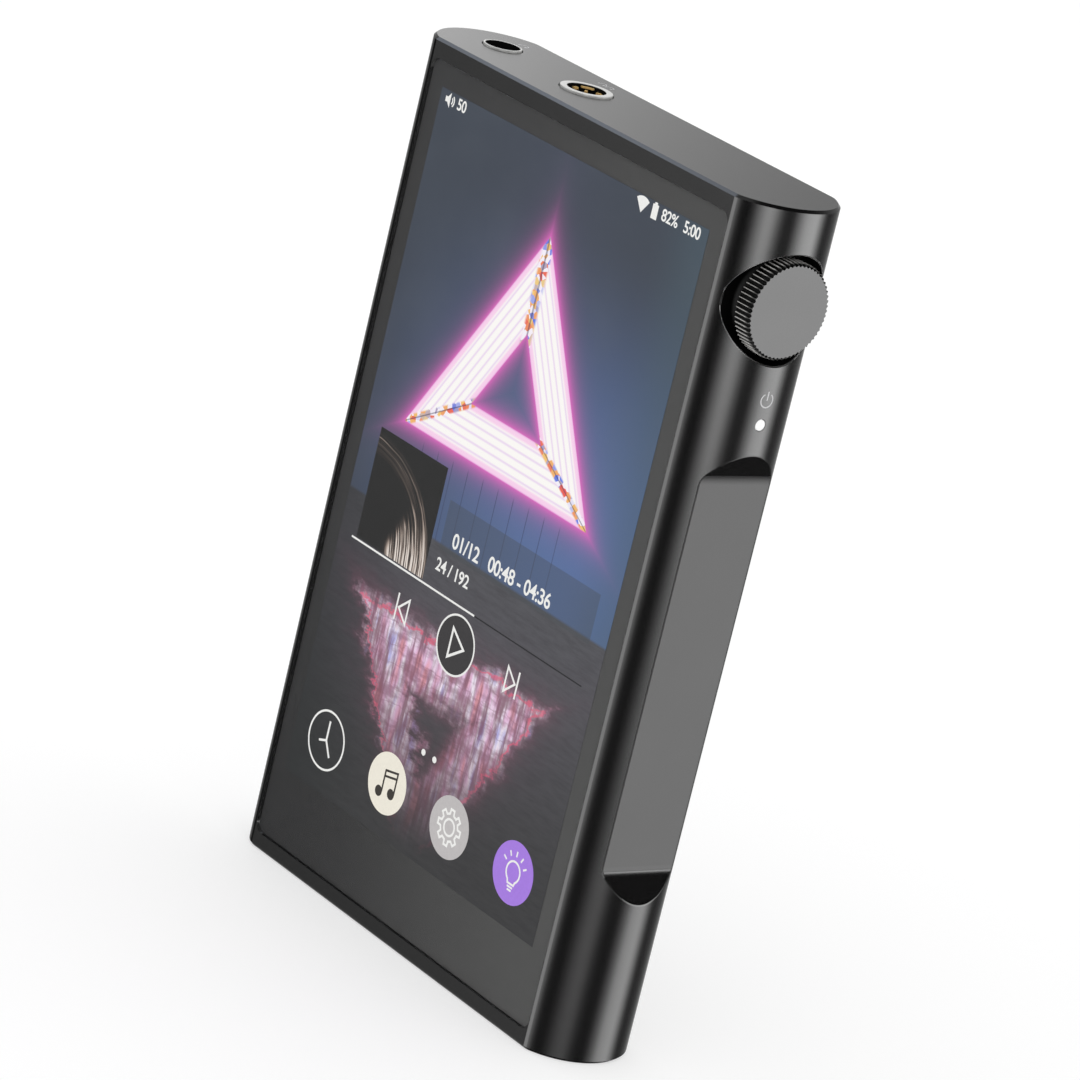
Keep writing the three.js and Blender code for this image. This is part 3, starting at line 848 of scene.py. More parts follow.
def knob_outline(inset=0.0):
    """Straight teeth with rounded crests and sharp roots."""
    points = []
    steps = KNOB_TEETH * 8
    for i in range(steps):
        t = i / 8
        rise = abs(math.cos(math.pi * t)) ** 0.8
        radius = KNOB_RADIUS - 0.42 * MM * rise
        radius = min(radius, KNOB_RADIUS - inset)
        a = 2 * math.pi * i / steps
        points.append((radius * math.cos(a), radius * math.sin(a)))
    return points


def build_knob():
    face, back = KNOB_HIGH.x, KNOB_LOW.x
    levels = [(back, 0.25 * MM), (back + 0.2 * MM, 0), (face - 0.26 * MM, 0)]
    levels += [(face - 0.12 * MM, 0.13 * MM), (face - 0.04 * MM, 0.25 * MM), (face, 0.38 * MM)]
    knob = prism(knob_outline, levels, along_x(KNOB_Y, KNOB_Z))
    wheel = add_piece("volume_wheel", knob, KNOB_METAL, ["volume_knob"], 30, "knob")
    # The teeth's material carries painted highlights on the crests and painted shade in the roots.
    wheel.data.materials.append(KNURL)
    wheel.data.materials.append(KNOB_EDGE_HIGHLIGHT)
    # The chamfer round the face takes the paler copy, a painted highlight; the teeth take the knurl.
    for polygon in wheel.data.polygons:
        if polygon.normal.x < 0.99:
            polygon.material_index = 2 if polygon.normal.x > 0.3 else 1


def build_light():
    lens = soft_prism(
        circle(LIGHT_RADIUS, 48), LIGHT_LOW.x, LIGHT_HIGH.x, along_x(LIGHT_Y, LIGHT_Z), 0, 0.1 * MM
    )
    add_piece("status_lens", lens, WHITE_LENS, ["light_pipe"])


def build_buttons():
    for name in BUTTONS:
        low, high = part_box(name)
        z = (low.z + high.z) / 2
        at_button = along_x(SIDE_Y, z, -1)
        cap = soft_prism(button_outline(), HALF - BUTTON_REACH, -low.x, at_button, 0, 0.3 * MM)
        add_piece(name + "_cap", cap, BUTTON_METAL, [name], body=name)


build_knob()
build_light()
build_buttons()

# --- Jacks, base socket, screws ---

def build_rings():
    for name, centre, radius in jack_rings():
        low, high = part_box(name)
        at_ring = along_z(centre.x, centre.y)
        wide = radius > 3 * MM
        bore = 2.45 * MM if wide else 1.95 * MM
        lip = 0.12 * MM
        profile = [(radius, low.z), (radius, high.z - lip)]
        for i in range(1, 5):
            a = i / 5 * math.pi / 2
            profile.append((radius - lip * (1 - math.cos(a)), high.z - lip * (1 - math.sin(a))))
        if wide:
            profile += [(radius - lip, high.z), (bore + 0.1 * MM, high.z)]
            profile += [(bore + 0.03 * MM, high.z - 0.03 * MM), (bore, high.z - 0.1 * MM)]
        else:
            profile += [(radius - lip, high.z), (radius - 0.2 * MM, high.z)]
            profile.append((radius - 0.26 * MM, high.z - 0.05 * MM))
            step = high.z - 0.7 * MM
            profile += [(radius - 0.28 * MM, step), (bore, step)]
        profile.append((bore, low.z))
        ring = turned(profile, at_ring)
        piece = add_piece(name + "_finish", ring, SILVER, [name], 24)
        # Inside the ring, below its lip, dull black stands for shade: painted shade.
        piece.data.materials.append(PAINTED_RECESS_SHADE)
        for polygon in piece.data.polygons:
            x, y, z = polygon.center
            inward = math.hypot(x - centre.x, y - centre.y) < radius - 0.24 * MM
            if inward and z < high.z - 0.06 * MM:
                polygon.material_index = 1


def build_contacts():
    """Gold leaves inside the balanced jack: arcs on its far wall, sprung strips and a blade."""
    centre = middle("balanced_jack_contact")
    place = along_z(centre.x, centre.y)
    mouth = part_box("balanced_jack_ring")[1].z - 0.1 * MM
    solids = []

    def strip(turns, inner, outer, bottom, top):
        """A piece of a tube's wall that runs through those angles."""
        rings = []
        for turn in turns:
            a = math.radians(turn)
            corners = ((inner, bottom), (outer, bottom), (outer, top), (inner, top))
            rings.append([place(r * math.cos(a), r * math.sin(a), h) for r, h in corners])
        solids.append(skin(rings))

    arcs = ((66, 100, 0.4, 0.4), (116, 160, 0.12, 0.2), (172, 190, 0.3, 0.25))
    for start, end, drop, tall in arcs:
        turns = [start + (end - start) * i / 8 for i in range(9)]
        top = mouth - drop * MM
        strip(turns, 1.9 * MM, 2.3 * MM, top - tall * MM, top)
    for turn in (84, 140, 181, 280, 340):
        strip((turn - 5, turn, turn + 5), 1.95 * MM, 2.2 * MM, mouth - 4 * MM, mouth - 0.5 * MM)
    strip((128, 143, 158), 0.42 * MM, 0.75 * MM, mouth - 4 * MM, mouth - 0.3 * MM)
    base = [(r * MM, mouth - h * MM) for r, h in ((2.3, 4.4), (2.3, 4), (0.4, 4), (0.4, 4.4))]
    solids.append(turned(base, place, 48))
    node = "balanced_jack_contact"
    add_piece("balanced_jack_leaves", merge(solids), GOLD, [node])


def build_base():
    low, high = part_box("base_socket")
    wall = 0.28 * MM
    outer = rounded(PORT_WIDE, PORT_DEEP, PORT_DEEP / 2 - 0.01 * MM, 16)
    shell = make("base_port_shell", soft_prism(outer, low.z, high.z, along_z(0, SIDE_Y), 0.08 * MM))
    wide, deep = PORT_WIDE - 2 * wall, PORT_DEEP - 2 * wall
    hollow = rounded(wide, deep, deep / 2 - 0.01 * MM, 16)
    combine(shell, [prism(hollow, [(-MM, 0), (high.z - 0.8 * MM, 0)], along_z(0, SIDE_Y))])
    shade(shell, 20)
    add_piece("base_port_shell", shell, STEEL, ["base_socket"])
    blade = rounded(*PORT_TONGUE, 0.2 * MM, 6)
    tongue = soft_prism(blade, low.z + 0.9 * MM, high.z - 0.7 * MM, along_z(0, SIDE_Y), 0.12 * MM)
    add_piece("base_port_tongue", tongue, BLACK)
    pads = []
    pad = rounded(0.26 * MM, 0.03 * MM, 0.01 * MM, 2)
    for side in (-1, 1):
        for k in range(PORT_PADS):
            x = (k - (PORT_PADS - 1) / 2) * 0.62 * MM
            at_pad = along_z(x, SIDE_Y + side * 0.36 * MM)
            pads.append(prism(pad, [(low.z + 1.1 * MM, 0), (low.z + 3.6 * MM, 0)], at_pad))
    add_piece("base_port_contacts", merge(pads), GOLD)
    for name in SCREWS:
        low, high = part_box(name)
        at_screw = along_z(middle(name).x, SIDE_Y)
        levels = [(low.z, 0.35 * MM), (low.z + 0.06 * MM, 0.2 * MM), (low.z + 0.2 * MM, 0.06 * MM)]
        levels += [(low.z + 0.4 * MM, 0), (low.z + 1.0 * MM, 0)]
        head = make(name + "_head", prism(circle(SCREW_RADIUS, 64), levels, at_screw))
        stem = prism(circle(0.8 * MM, 32), [(low.z + 0.9 * MM, 0), (high.z, 0)], at_screw)
        combine(head, [stem], "UNION")
        combine(head, [prism(circle(0.66 * MM, 6), [(-MM, 0), (low.z + 0.7 * MM, 0)], at_screw)])
        shade(head, 30)
        add_piece(name + "_head", head, STEEL, [name])


build_rings()
build_contacts()
build_base()


def dress_inside():
    """The CAD nodes that stay: sockets, boards, chips and the rest of the inside."""
    shields = ("output_shield", "processor_shield", "wireless_shield")
    looks = {
        BOARD: ("main_board", "button_board", "base_socket_board"),
        CHIP: ("dac_chip_left", "dac_chip_right", "next_switch", "play_switch", "previous_switch"),
        STEEL: shields + ("backlight_tray", "encoder_shaft"),
        BLACK: ("headphone_jack", "balanced_jack", "card_socket", "encoder_body", "press_collar"),
        WRAP: ("battery",) + tuple(f"audio_capacitor_{k}" for k in (1, 2, 3, 4)),
        FLEX: ("display_flex",),
        WHITE_LENS: ("status_light",),
    }
    for material, names in looks.items():
        for name in names:
            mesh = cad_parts[name].data
            mesh.materials.clear()
            mesh.materials.append(material)


dress_inside()

# --- Drawing in thin solids, in millimetres ---

def in_mm(place):
    return lambda u, v, h: place(u * MM, v * MM, h * MM)


def on_screen(y, x=0.0, z=0.0):
    """(u, v) in millimetres from the point (x, z) in millimetres, in the plane at y."""
    return lambda u, v, h: Vector(((x + u) * MM, y - h * MM, (z + v) * MM))


def fill(points, place, thick=0.01):
    """A flat patch with that outline."""
    return skin([[place(u, v, h) for u, v in points] for h in (0.0, thick)])


def stroke(points, width, place, closed=False, thick=0.01):
    """A line of that width through the points, with mitred corners."""
    count = len(points)
    rings = []
    for i in range(count):
        here = Vector(points[i])
        before = Vector(points[i - 1]) if closed or i else None
        after = Vector(points[(i + 1) % count]) if closed or i < count - 1 else None
        sides = []
        for a, b in ((before, here), (here, after)):
            if a is not None and b is not None:
                along = (b - a).normalized()
                sides.append(Vector((-along.y, along.x)))
        across = (sides[0] + sides[-1]).normalized()
        reach = width / 2 / max(across.dot(sides[0]), 0.45)
        left, right = here + across * reach, here - across * reach
        corners = ((left, 0.0), (right, 0.0), (right, thick), (left, thick))
        rings.append([place(p.x, p.y, h) for p, h in corners])
    return skin(rings, closed=closed)


def arc(radius, start=0.0, end=360.0, steps=48, x=0.0, y=0.0):
    full = abs(end - start) >= 360
    count = steps if full else steps + 1
    angles = [math.radians(start + (end - start) * i / steps) for i in range(count)]
    return [(x + radius * math.cos(a), y + radius * math.sin(a)) for a in angles]


def bar(x0, z0, x1, z1, place, thick=0.01):
    return fill([(x0, z0), (x1, z0), (x1, z1), (x0, z1)], place, thick)


def digits(text, height, place):
    """Numerals, cut from Blender's own plain typeface."""
    curve = bpy.data.curves.new("digits", "FONT")
    curve.body = text
    curve.size = height * 1.38
    curve.align_x, curve.align_y = "CENTER", "CENTER"
    curve.space_character = 0.95
    curve.extrude = 0.005
    curve.offset = 0.022 * height
    obj = link("digits", curve)
    bpy.context.view_layer.update()
    graph = bpy.context.evaluated_depsgraph_get()
    mesh = bpy.data.meshes.new_from_object(obj.evaluated_get(graph), depsgraph=graph)
    points = [place(v.co.x * 0.95, v.co.y, v.co.z + 0.005) for v in mesh.vertices]
    faces = [tuple(p.vertices) for p in mesh.polygons]
    bpy.data.objects.remove(obj)
    bpy.data.curves.remove(curve)
    bpy.data.meshes.remove(mesh)
    return points, faces

# --- Picture on the display: a neon triangle in a dim blue room, and its reflection in the floor ---

# In millimetres on the screen, x from its middle line and z from the base.
SCREEN = (-27.65, 11.97, 27.25, 103.47)
HORIZON = 50.8
FIGURE_X = -0.6
FIGURE_APEX = 93.1
FIGURE_BASE = 62.4
BUNDLE = 6.6
TUBES = 6
PLAY_Z = 40.2
DOCK_Z = 18.8
DOCK_MUSIC_X, DOCK_SETTINGS_X, DOCK_LAMP_X = -6.8, 6.9, 20.6


def neon_edge(x, z):
    """How far (x, z) is out from the triangle's edge; the tubes lie between -BUNDLE and 0."""
    across = (x - FIGURE_X).size()
    slant = across * 0.8467 + (z - FIGURE_APEX) * 0.5323
    base = z.minus_from(FIGURE_BASE)
    seam = (slant - base).size().least(across + (base - slant).step(-0.1, 0.1) * 50)
    return slant.most(base), seam


def band(edge, soft):
    return edge.step(soft, -soft) * edge.step(-BUNDLE - soft, -BUNDLE + soft)


def glows(edge):
    away = edge.most((edge + BUNDLE) * -1.0).most(0.0)
    return (away * -0.95).op("EXPONENT"), (away * -0.15).op("EXPONENT")


def neon_tubes(nodes, place, edge, seam):
    """Bundles of white tubes with pink outer ones and coloured ends where they meet."""
    wave = (edge * (-TUBES / BUNDLE)).part()
    crest = ((wave * 2 - 1).size()).minus_from(1.0).step(0.0, 0.5)
    tube = nodes.mix(crest, rgb(0.86, 0.72, 0.90), rgb(1.0, 0.98, 0.95))
    rim = edge.step(-1.0, -0.5).most(edge.step(-BUNDLE + 1.0, -BUNDLE + 0.5))
    tube = nodes.mix(rim * 0.6, tube, rgb(0.95, 0.45, 0.82))
    cells = nodes.add("ShaderNodeTexVoronoi", {"Vector": place, "Scale": 1300.0})
    spots = nodes.add("ShaderNodeSeparateColor", {0: cells.outputs["Color"]}).outputs[0]
    ends = nodes.ramp(
        spots,
        [
            (0.0, rgb(0.85, 0.12, 0.1)),
            (0.3, rgb(0.95, 0.66, 0.2)),
            (0.5, rgb(0.12, 0.2, 0.8)),
            (0.7, rgb(0.95, 0.9, 0.98)),
        ],
    )
    tube = nodes.mix(seam.step(1.3, 0.7), tube, ends)
    return nodes.mix(seam.step(0.22, 0.1) * 0.6, tube, rgb(0.05, 0.05, 0.12))


def wet_floor(nodes, place, x, z):
    """The dark floor, with the figure smeared down across its boards."""
    depth = z.step(HORIZON, 14)
    ground = nodes.mix(depth, rgb(0.094, 0.096, 0.106), rgb(0.050, 0.050, 0.052))
    ground = nodes.mix(x.step(-6, -30) * 0.6, ground, rgb(0.02, 0.024, 0.024))
    grain = nodes.noise(900.0, place, 4.0, 0.7, stretch=(0.25, 1.0, 1.6))
    ground = nodes.mix(grain.step(0.3, 0.8) * 0.35, ground, rgb(0.02, 0.02, 0.022))

    wobble = nodes.noise(330.0, place, 4.0, 0.65, stretch=(0.7, 1.0, 1.5)) - 0.5
    edge = neon_edge(x + wobble * 8.0, (z + wobble * 5.0).minus_from(2 * HORIZON))[0]
    near, far = glows(edge)
    fade = z.step(12, 34)
    ground = nodes.mix(far * fade * 0.1, ground, rgb(0.20, 0.11, 0.18))
    ground = nodes.mix(near * fade * 0.3, ground, rgb(0.50, 0.12, 0.22))
    streaks = nodes.noise(1100.0, place, 4.0, 0.65, stretch=(1.0, 1.0, 0.13))
    broken = nodes.noise(520.0, place, 3.0, 0.6, stretch=(0.4, 1.0, 1.2))
    boards = ((z * 0.42 + wobble * 1.6).part() - 0.5).size().step(0.48, 0.40)
    light = streaks.step(0.33, 0.62) * (broken.step(0.34, 0.6) * 0.75 + 0.25) * (boards * 0.4 + 0.6)
    light = light * (z.step(18, 40) * 0.6 + 0.5)
    hues = nodes.ramp(
        nodes.noise(260.0, place, 2.0, stretch=(1.6, 1.0, 0.5)),
        [
            (0.34, rgb(0.80, 0.36, 0.42)),
            (0.45, rgb(0.80, 0.52, 0.74)),
            (0.55, rgb(0.92, 0.84, 0.94)),
            (0.68, rgb(0.46, 0.46, 0.84)),
        ],
    )
    ground = nodes.mix(band(edge, 1.6) * fade * (light * 0.9 + 0.12).least(1.0), ground, hues)
    red = edge.size().step(0.35, 0.05) * fade * streaks.step(0.3, 0.5)
    return nodes.mix(red * 0.7, ground, rgb(0.72, 0.12, 0.20))


def picture():
    material, nodes, put, place = glowing("picture", rgb(0.004), 1.02)
    x, _, z = (axis * 1000 for axis in nodes.axes(place))

    low = z.step(98, 60) * x.step(-34, 14)
    wall = nodes.mix(low, rgb(0.053, 0.064, 0.084), rgb(0.10, 0.165, 0.34))
    wall = nodes.mix(x.step(17, 28) * 0.5, wall, rgb(0.07, 0.11, 0.14))
    wisps = nodes.noise(90.0, place, 3.0)
    wall = nodes.mix(wisps.step(0.35, 0.75) * 0.16, wall, rgb(0.11, 0.13, 0.16))
    edge, seam = neon_edge(x, z)
    near, far = glows(edge)
    wall = nodes.mix(far * 0.08, wall, rgb(0.24, 0.22, 0.50))
    wall = nodes.mix(near * 0.9, wall, rgb(0.78, 0.15, 0.55))
    wall = nodes.mix(band(edge, 0.12), wall, neon_tubes(nodes, place, edge, seam))
    wires = ((x * 0.31 + 0.2).part() - 0.5).size().step(0.035, 0.015)
    wires = wires * z.step(61.5, 60.5) * (x - FIGURE_X).size().step(16, 14)
    wall = nodes.mix(wires * 0.6, wall, rgb(0.05, 0.06, 0.12))

    ground = wet_floor(nodes, place, x, z)
    whole = nodes.mix(z.step(HORIZON - 0.25, HORIZON + 0.25), ground, wall)
    shade_band = x.step(-7.6, -7.5) * x.step(24.1, 24.0) * z.step(50.1, 50.2) * z.step(56.6, 56.5)
    whole = nodes.mix(shade_band * 0.45, whole, rgb(0.07, 0.08, 0.09))
    put(Emission_Color=whole)
    return material


def album_art():
    """Fine pale strands that sweep round a dark ground and fan out at the foot."""
    sockets = {"Base_Color": rgb(0.004), "Roughness": 0.5, "Emission_Strength": 1.0}
    material, nodes, put, place = principled("album_art", **sockets)
    x, _, z = (axis * 1000 for axis in nodes.axes(place))
    u, v = x + 24.6, z - 44.0
    ring = (u * u + v * v).power(0.5) + (nodes.noise(90.0, place, 2.0) - 0.5) * 1.6
    foot = v.step(10, 1.5)
    inner = foot * -6.0 + 12.4
    lane = ring.step(15.9, 15.0) * (ring - inner).step(0.0, 1.6)
    line = nodes.add("ShaderNodeCombineXYZ", {0: ring * 2.4, 1: v * 0.07, 2: 0.0})
    strands = nodes.noise(1.0, line.outputs[0], 4.0, 0.7)
    tone = (strands - foot * -0.1).step(0.47, 0.68) * lane * (foot * 0.4 + 0.6)
    colour = nodes.ramp(
        tone,
        [
            (0.0, rgb(0.017, 0.017, 0.017)),
            (0.3, rgb(0.09, 0.07, 0.06)),
            (0.65, rgb(0.42, 0.34, 0.29)),
            (1.0, rgb(0.85, 0.78, 0.72)),
        ],
    )
    put(Emission_Color=colour)
    return material


WHITE_GLOW = lit("glow_white", (0.82, 0.82, 0.8))
DIM_GLOW = lit("glow_dim", (0.028, 0.028, 0.03))
CREAM_GLOW = lit("glow_cream", (0.82, 0.78, 0.68))
GREY_GLOW = lit("glow_grey", (0.5, 0.48, 0.48))
PURPLE_GLOW = lit("glow_purple", (0.37, 0.20, 0.72))
INK_GLOW = lit("glow_ink", (0.05, 0.045, 0.04))


def screen_piece(name, solids, material):
    add_piece(name, merge(solids), material)


def build_picture():
    plate = bar(*SCREEN, on_screen(IMAGE_Y), 0.02)
    add_piece("display_picture", plate, picture(), ["display_panel"])
    art = bar(-24.1, 45.3, -9.4, 60, on_screen(ART_Y))
    add_piece("display_album_square", art, album_art())


def build_status_row():
    at = lambda x: on_screen(ICON_Y, x, 102.35)
    speaker = [(-0.9, -0.34), (-0.45, -0.34), (0.1, -0.95), (0.1, 0.95), (-0.45, 0.34), (-0.9, 0.34)]
    solids = [fill(speaker, at(-25.6))]
    for radius in (0.5, 0.85):
        solids.append(stroke(arc(radius, -48, 48, 12, 0.1), 0.2, at(-25.6)))
    fan = [(0, -1.0)] + arc(2.0, 52, 128, 16, 0, -1.0)
    solids.append(fill(fan, at(14.5)))
    cell = [(-0.55, -1), (0.55, -1), (0.55, 0.8), (0.25, 0.8), (0.25, 1.05)]
    cell += [(-0.25, 1.05), (-0.25, 0.8), (-0.55, 0.8)]
    solids.append(fill(cell, at(17.0)))
    for text, x in (("50", -23.0), ("82%", 19.95), ("5:00", 24.3)):
        solids.append(digits(text, 1.5, at(x)))
    screen_piece("display_status_row", solids, WHITE_GLOW)


def build_titles():
    """Track number and times, where a player shows them."""
    solids = [
        digits("01/12   00:48 - 04:36", 2.0, on_screen(ICON_Y, 5.1, 52.0)),
        digits("24 / 192", 1.7, on_screen(ICON_Y, -3.9, 48.2)),
    ]
    screen_piece("display_titles", solids, WHITE_GLOW)


def build_playback():
    place = on_screen(ICON_Y)
    played = [bar(-25, 44.85, 2.1, 45.1, place)]
    screen_piece("display_progress_played", played, WHITE_GLOW)
    left = [bar(2.1, 44.88, 24.6, 45.06, place)]
    screen_piece("display_progress_left", left, DIM_GLOW)
    disc = [fill(arc(3.7), on_screen(ART_Y, -0.1, PLAY_Z))]
    screen_piece("display_play_disc", disc, lit("glow_disc", (0.05, 0.048, 0.05)))
    play = on_screen(ICON_Y, -0.1, PLAY_Z)
    ring = [
        stroke(arc(3.8, steps=72), 0.26, play, True),
        stroke([(-1.1, -1.9), (1.7, 0), (-1.1, 1.9)], 0.34, play, True),
    ]
    for x, side in ((-11.6, -1), (11.6, 1)):
        at = on_screen(ICON_Y, x, PLAY_Z + 0.05)
        ring.append(stroke([(-0.9 * side, -1.6), (1.0 * side, 0), (-0.9 * side, 1.6)], 0.3, at, True))
        ring.append(stroke([(1.45 * side, -1.75), (1.45 * side, 1.75)], 0.3, at))
    screen_piece("display_playback_icons", ring, WHITE_GLOW)
    dots = [fill(arc(0.42, steps=20), on_screen(ICON_Y, x, 25.4)) for x in (-1.3, 1.1)]
    screen_piece("display_page_dots", dots, WHITE_GLOW)


def gear_outline(teeth=8, root=1.75, crest=2.35):
    points = []
    for k in range(teeth):
        for part, radius in ((-0.29, root), (-0.19, crest), (0.19, crest), (0.29, root)):
            a = 2 * math.pi * (k + part) / teeth
            points.append((radius * math.cos(a), radius * math.sin(a)))
    return points


def build_dock():
    clock = on_screen(ICON_Y, -20.65, DOCK_Z)
    hands = [
        stroke(arc(3.8, steps=72), 0.28, clock, True),
        stroke([(0, 0), (0, 2.6)], 0.34, clock),
        stroke([(0, 0), (1.3, -1.9)], 0.34, clock),
        stroke([(0, 0), (-1.5, -0.5)], 0.3, clock),
    ]
    screen_piece("display_clock", hands, WHITE_GLOW)
    for name, x, material in (
        ("display_music_disc", DOCK_MUSIC_X, CREAM_GLOW),
        ("display_settings_disc", DOCK_SETTINGS_X, GREY_GLOW),
        ("display_lamp_disc", DOCK_LAMP_X, PURPLE_GLOW),
    ):
        screen_piece(name, [fill(arc(4.0, steps=72), on_screen(ICON_Y, x, DOCK_Z))], material)
    note = on_screen(OVER_Y, DOCK_MUSIC_X, DOCK_Z)
    tune = [fill(arc(0.72, steps=24, x=dx, y=dy), note) for dx, dy in ((-1.35, -1.5), (1.15, -1.0))]
    tune.append(stroke([(-0.75, -1.4), (-0.75, 1.5), (1.75, 2.0), (1.75, -0.9)], 0.3, note))
    tune.append(stroke([(-0.75, 0.75), (1.75, 1.25)], 0.3, note))
    screen_piece("display_music_note", tune, INK_GLOW)
    gear = on_screen(OVER_Y, DOCK_SETTINGS_X, DOCK_Z)
    wheel = [stroke(gear_outline(), 0.3, gear, True), stroke(arc(1.05, steps=32), 0.3, gear, True)]
    bulb = on_screen(OVER_Y, DOCK_LAMP_X, DOCK_Z)
    glass = arc(1.35, -55, 235, 40, 0, 0.1) + [(-0.62, -1.45), (0.62, -1.45)]
    wheel.append(stroke(glass, 0.26, bulb, True))
    for drop, half in ((-1.85, 0.55), (-2.25, 0.4)):
        wheel.append(stroke([(-half, drop), (half, drop)], 0.24, bulb))
    for turn in (30, 60, 90, 120, 150):
        a = math.radians(turn)
        ray = [(r * math.cos(a), 0.1 + r * math.sin(a)) for r in (2.0, 2.7)]
        wheel.append(stroke(ray, 0.24, bulb))
    screen_piece("display_dock_lines", wheel, WHITE_GLOW)


build_picture()
build_status_row()
build_titles()
build_playback()
build_dock()

# --- Small prints on the case ---

def on_top(x, y):
    """(u, v) in millimetres on the top face, from the point (x, y) in millimetres."""
    return lambda u, v, h: Vector(((x + u) * MM, (y + v) * MM, TOP + h * MM))


def headphones(place, radius, drop, cup):
    """A head band with two ear cups."""
    cups = [[(radius * side, 0.05), (radius * side, -drop)] for side in (-1, 1)]
    band = stroke(arc(radius, 0, 180, 20), 0.12, place)
    return [band] + [stroke(line, cup, place) for line in cups]


def build_prints():
    power = in_mm(on_side(1, LIGHT_Y, 85.7 * MM))
    solids = [
        stroke(arc(0.86, 122, 418, 40), 0.15, power),
        stroke([(0, 0.0), (0, 1.12)], 0.17, power),
    ]
    solids += headphones(on_top(-28.7, 4.1), 0.6, 0.45, 0.26)
    for dx in (-0.75, 0.75):
        solids += headphones(on_top(dx - 12.5, 5.1), 0.5, 0.4, 0.22)
    add_piece("case_prints", merge(solids), PRINT)
    for name, marks in (
        ("next_button", ((1, -0.75), (1, 0.35))),
        ("play_button", ((1, -0.55),)),
        ("previous_button", ((-1, 0.75), (-1, -0.35))),
    ):
        low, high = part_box(name)
        z = (low.z + high.z) / 2
        face = low.x + 0.01 * MM
        at = lambda u, v, h: Vector((face - h * MM, SIDE_Y + v * MM, z + u * MM))
        solids = []
        for side, shift in marks:
            tip = [(-0.5 * side + shift, -0.55), (0.5 * side + shift, 0), (-0.5 * side + shift, 0.55)]
            solids.append(fill(tip, at, 0.008))
        if name == "play_button":
            for shift in (0.45, 0.85):
                solids.append(stroke([(shift, -0.55), (shift, 0.55)], 0.18, at, thick=0.008))
        else:
            edge = 1.05 * marks[0][0]
            solids.append(stroke([(edge, -0.55), (edge, 0.55)], 0.18, at, thick=0.008))
        add_piece(name + "_mark", merge(solids), PRINT, body=name)


build_prints()

# --- Stage, camera and light ---

CAMERA_AT = Vector((495.763, -411.551, 248.046)) * MM + Vector((0, FRONT, 0))
CAMERA_RIGHT = Vector((0.577776, 0.784304, 0.225924))
CAMERA_DOWN = Vector((0.364196, -0.0000205, -0.931322))
CAMERA_LENS = 183.39
FLOOR_REACH = 3.0
FLOOR_DROP = 0.02 * MM


def build_camera():
    data = bpy.data.cameras.new("camera")
    data.lens = CAMERA_LENS
    data.sensor_width = 36
    data.clip_start, data.clip_end = 0.01, 20
    camera = link("camera", data)
    forward = CAMERA_RIGHT.cross(CAMERA_DOWN)
    turn = Matrix((CAMERA_RIGHT, -CAMERA_DOWN, -forward)).transposed()
    camera.matrix_world = Matrix.Translation(CAMERA_AT) @ turn.to_4x4()
    bpy.context.scene.camera = camera


def build_floor():
    """A pale floor that glows a little, so that shadows on it stay light. It is clear from below."""
    signs = ((-1, -1), (1, -1), (1, 1), (-1, 1))
    corners = [(FLOOR_REACH * a, FLOOR_REACH * b, -FLOOR_DROP) for a, b in signs]
    mesh = bpy.data.meshes.new("floor")
    mesh.from_pydata(corners, [], [(0, 1, 2, 3)])
    floor = link("floor", mesh)
    material, nodes = blank("floor_white")
    sockets = {"Base Color": rgb(0.5), "Roughness": 0.9}
    sockets |= {"Emission Color": rgb(1.0), "Emission Strength": 0.53}
    shader = nodes.add("ShaderNodeBsdfPrincipled", sockets)
    clear = nodes.add("ShaderNodeBsdfTransparent")
    under = nodes.add("ShaderNodeNewGeometry").outputs["Backfacing"]
    mixed = nodes.add("ShaderNodeMixShader", {0: under, 1: shader, 2: clear})
    nodes.add("ShaderNodeOutputMaterial", {"Surface": mixed})
    mesh.materials.append(material)
    floor.visible_glossy = False


# What glossy surfaces mirror: (azimuth in degrees, brightness low down, level and high up).
STUDIO = (
    (-180, 0.0, 0.02, 0.2),
    (-158, 0.0, 0.02, 0.2),
    (-146, 0.05, 0.10, 0.15),
    (-136, 0.12, 0.27, 0.15),
    (-127, 0.5, 0.6, 0.15),
    (-116, 1.0, 1.05, 0.15),
    (-104, 0.85, 0.85, 0.15),
    (-92, 0.65, 0.68, 0.1),
    (-85, 0.02, 0.02, 0.03),
    (-74, 0.0, 0.0, 0.02),
    (-66, 0.0, 0.03, 0.02),
    (-59, 0.03, 0.18, 0.02),
    (-48, 0.12, 0.95, 0.02),
    (-37, 0.17, 1.75, 0.02),
    (-28, 0.16, 1.5, 0.02),
    (-18, 0.03, 0.55, 0.02),
    (-10, 0.0, 0.1, 0.02),
    (1, 0.0, 0.06, 0.02),
    (8, 0.0, 0.1, 0.02),
    (20, 0.3, 0.95, 0.02),
    (32, 1.05, 1.65, 0.02),
    (52, 1.35, 1.9, 0.02),
    (62, 0.62, 0.78, 0.02),
    (71, 0.08, 0.12, 0.04),
    (80, 0.02, 0.06, 0.08),
    (90, 0.07, 0.12, 0.15),
    (100, 0.13, 0.19, 0.22),
    (112, 0.2, 0.26, 0.28),
    (128, 0.5, 0.5, 0.28),
    (142, 0.9, 0.9, 0.28),
    (158, 0.2, 0.25, 0.28),
    (180, 0.0, 0.02, 0.2),
)


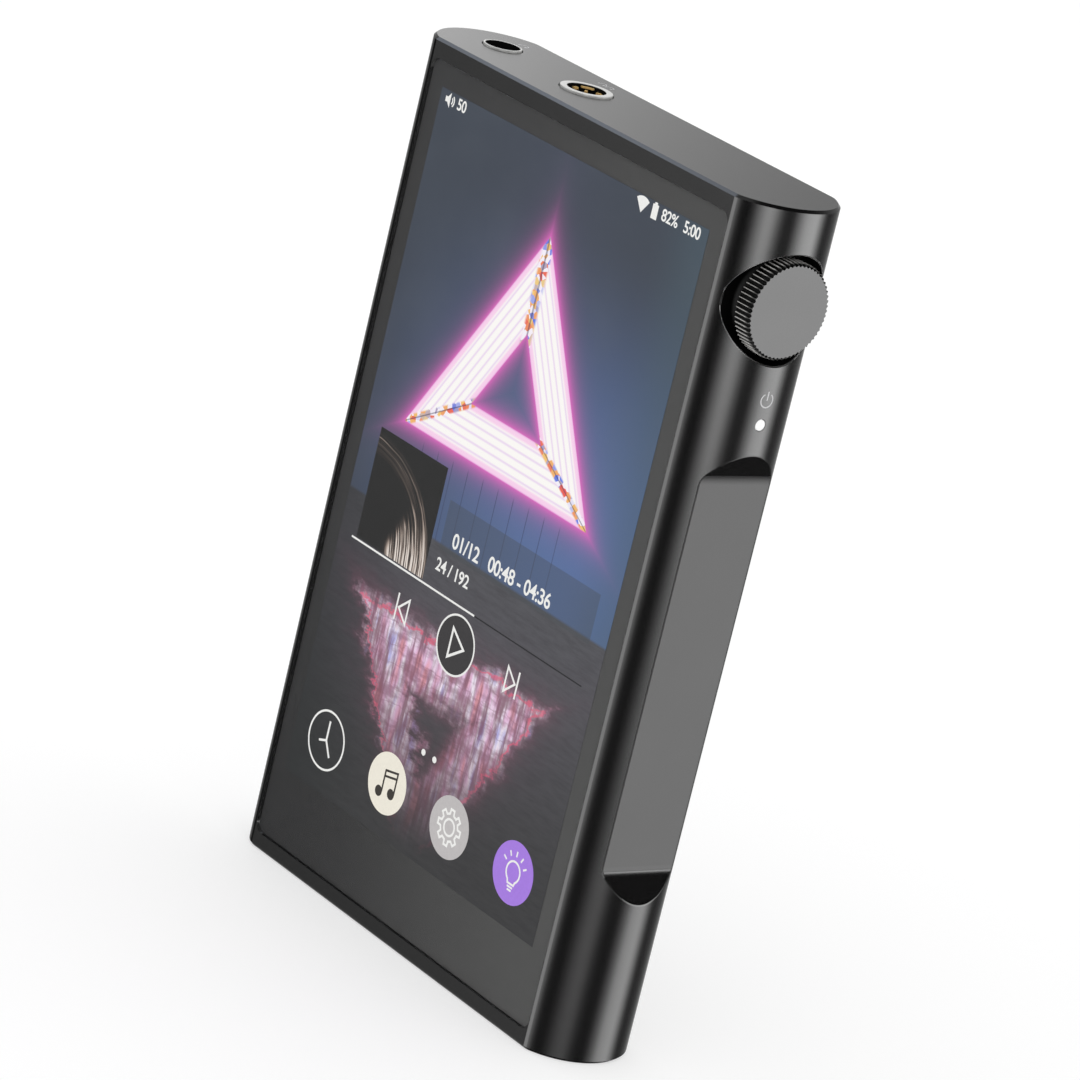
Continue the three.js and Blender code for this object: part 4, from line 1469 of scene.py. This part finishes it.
def build_world():
    """A white room. What glossy surfaces mirror is the same room with its tall soft panels."""
    world = bpy.data.worlds.new("studio")
    bpy.context.scene.world = world
    world.use_nodes = True
    nodes = Nodes(world.node_tree)
    place = nodes.add("ShaderNodeTexCoord").outputs["Generated"]
    x, y, z = nodes.axes(place)
    turn = y.op("ARCTAN2", x) * (0.5 / math.pi) + 0.5
    stops = [((a + 180) / 360, rgb(*(e / 2 for e in heights))) for a, *heights in STUDIO]
    panels = nodes.add("ShaderNodeSeparateColor", {0: nodes.ramp(turn, stops)})
    low, level, high = (nodes.num(panels.outputs[k]) for k in range(3))
    rise = z.step(-0.31, -0.20)
    panels = (low + (level - low) * rise) * z.step(-0.75, -0.45) + rise.minus_from(1.0) * 0.014
    panels = (panels + (high - panels) * z.step(0.05, 0.18)) * 2
    mirrored = nodes.num(nodes.add("ShaderNodeLightPath").outputs["Is Glossy Ray"])
    strength = mirrored * (panels - 1.0) + 1.0
    back = nodes.add("ShaderNodeBackground", {0: rgb(1.0), 1: strength})
    nodes.add("ShaderNodeOutputWorld", {"Surface": back})
    world.cycles.sampling_method = "NONE"


def softbox(name, at, toward, width, height, radiance, colour=(1.0, 1.0, 1.0)):
    """A soft lamp, brightest along its middle. radiance is in watts per square metre and steradian."""
    data = bpy.data.lights.new(name, "AREA")
    data.shape = "RECTANGLE"
    data.size, data.size_y = width, height
    data.energy = radiance * math.pi * width * height
    data.color = colour
    light = link(name, data)
    light.location = at
    light.rotation_mode = "QUATERNION"
    light.rotation_quaternion = (Vector(toward) - Vector(at)).to_track_quat("-Z", "Y")
    light.visible_camera = False
    data.use_nodes = True
    nodes = Nodes(data.node_tree)
    across = nodes.add("ShaderNodeNewGeometry").outputs["Parametric"]
    wide, tall = (((axis - 0.5).size() * 2).minus_from(1.0) for axis in nodes.axes(across)[:2])
    glow = nodes.add("ShaderNodeEmission", {1: wide.power(2.5) * tall.power(0.8)})
    nodes.add("ShaderNodeOutputLight", {"Surface": glow})


build_camera()
build_floor()
build_world()
softbox("back_panel_light", (-0.27, 0.176, 0.172), (-0.036, 0, TOP), 0.26, 0.16, 0.79)
cool = (0.82, 0.92, 1.1)
softbox("front_edge_light", (-0.255, -0.1, 0.30), (-0.01, FRONT, TOP), 0.2, 0.16, 1.6, cool)
bpy.context.scene.view_settings.view_transform = "Standard"
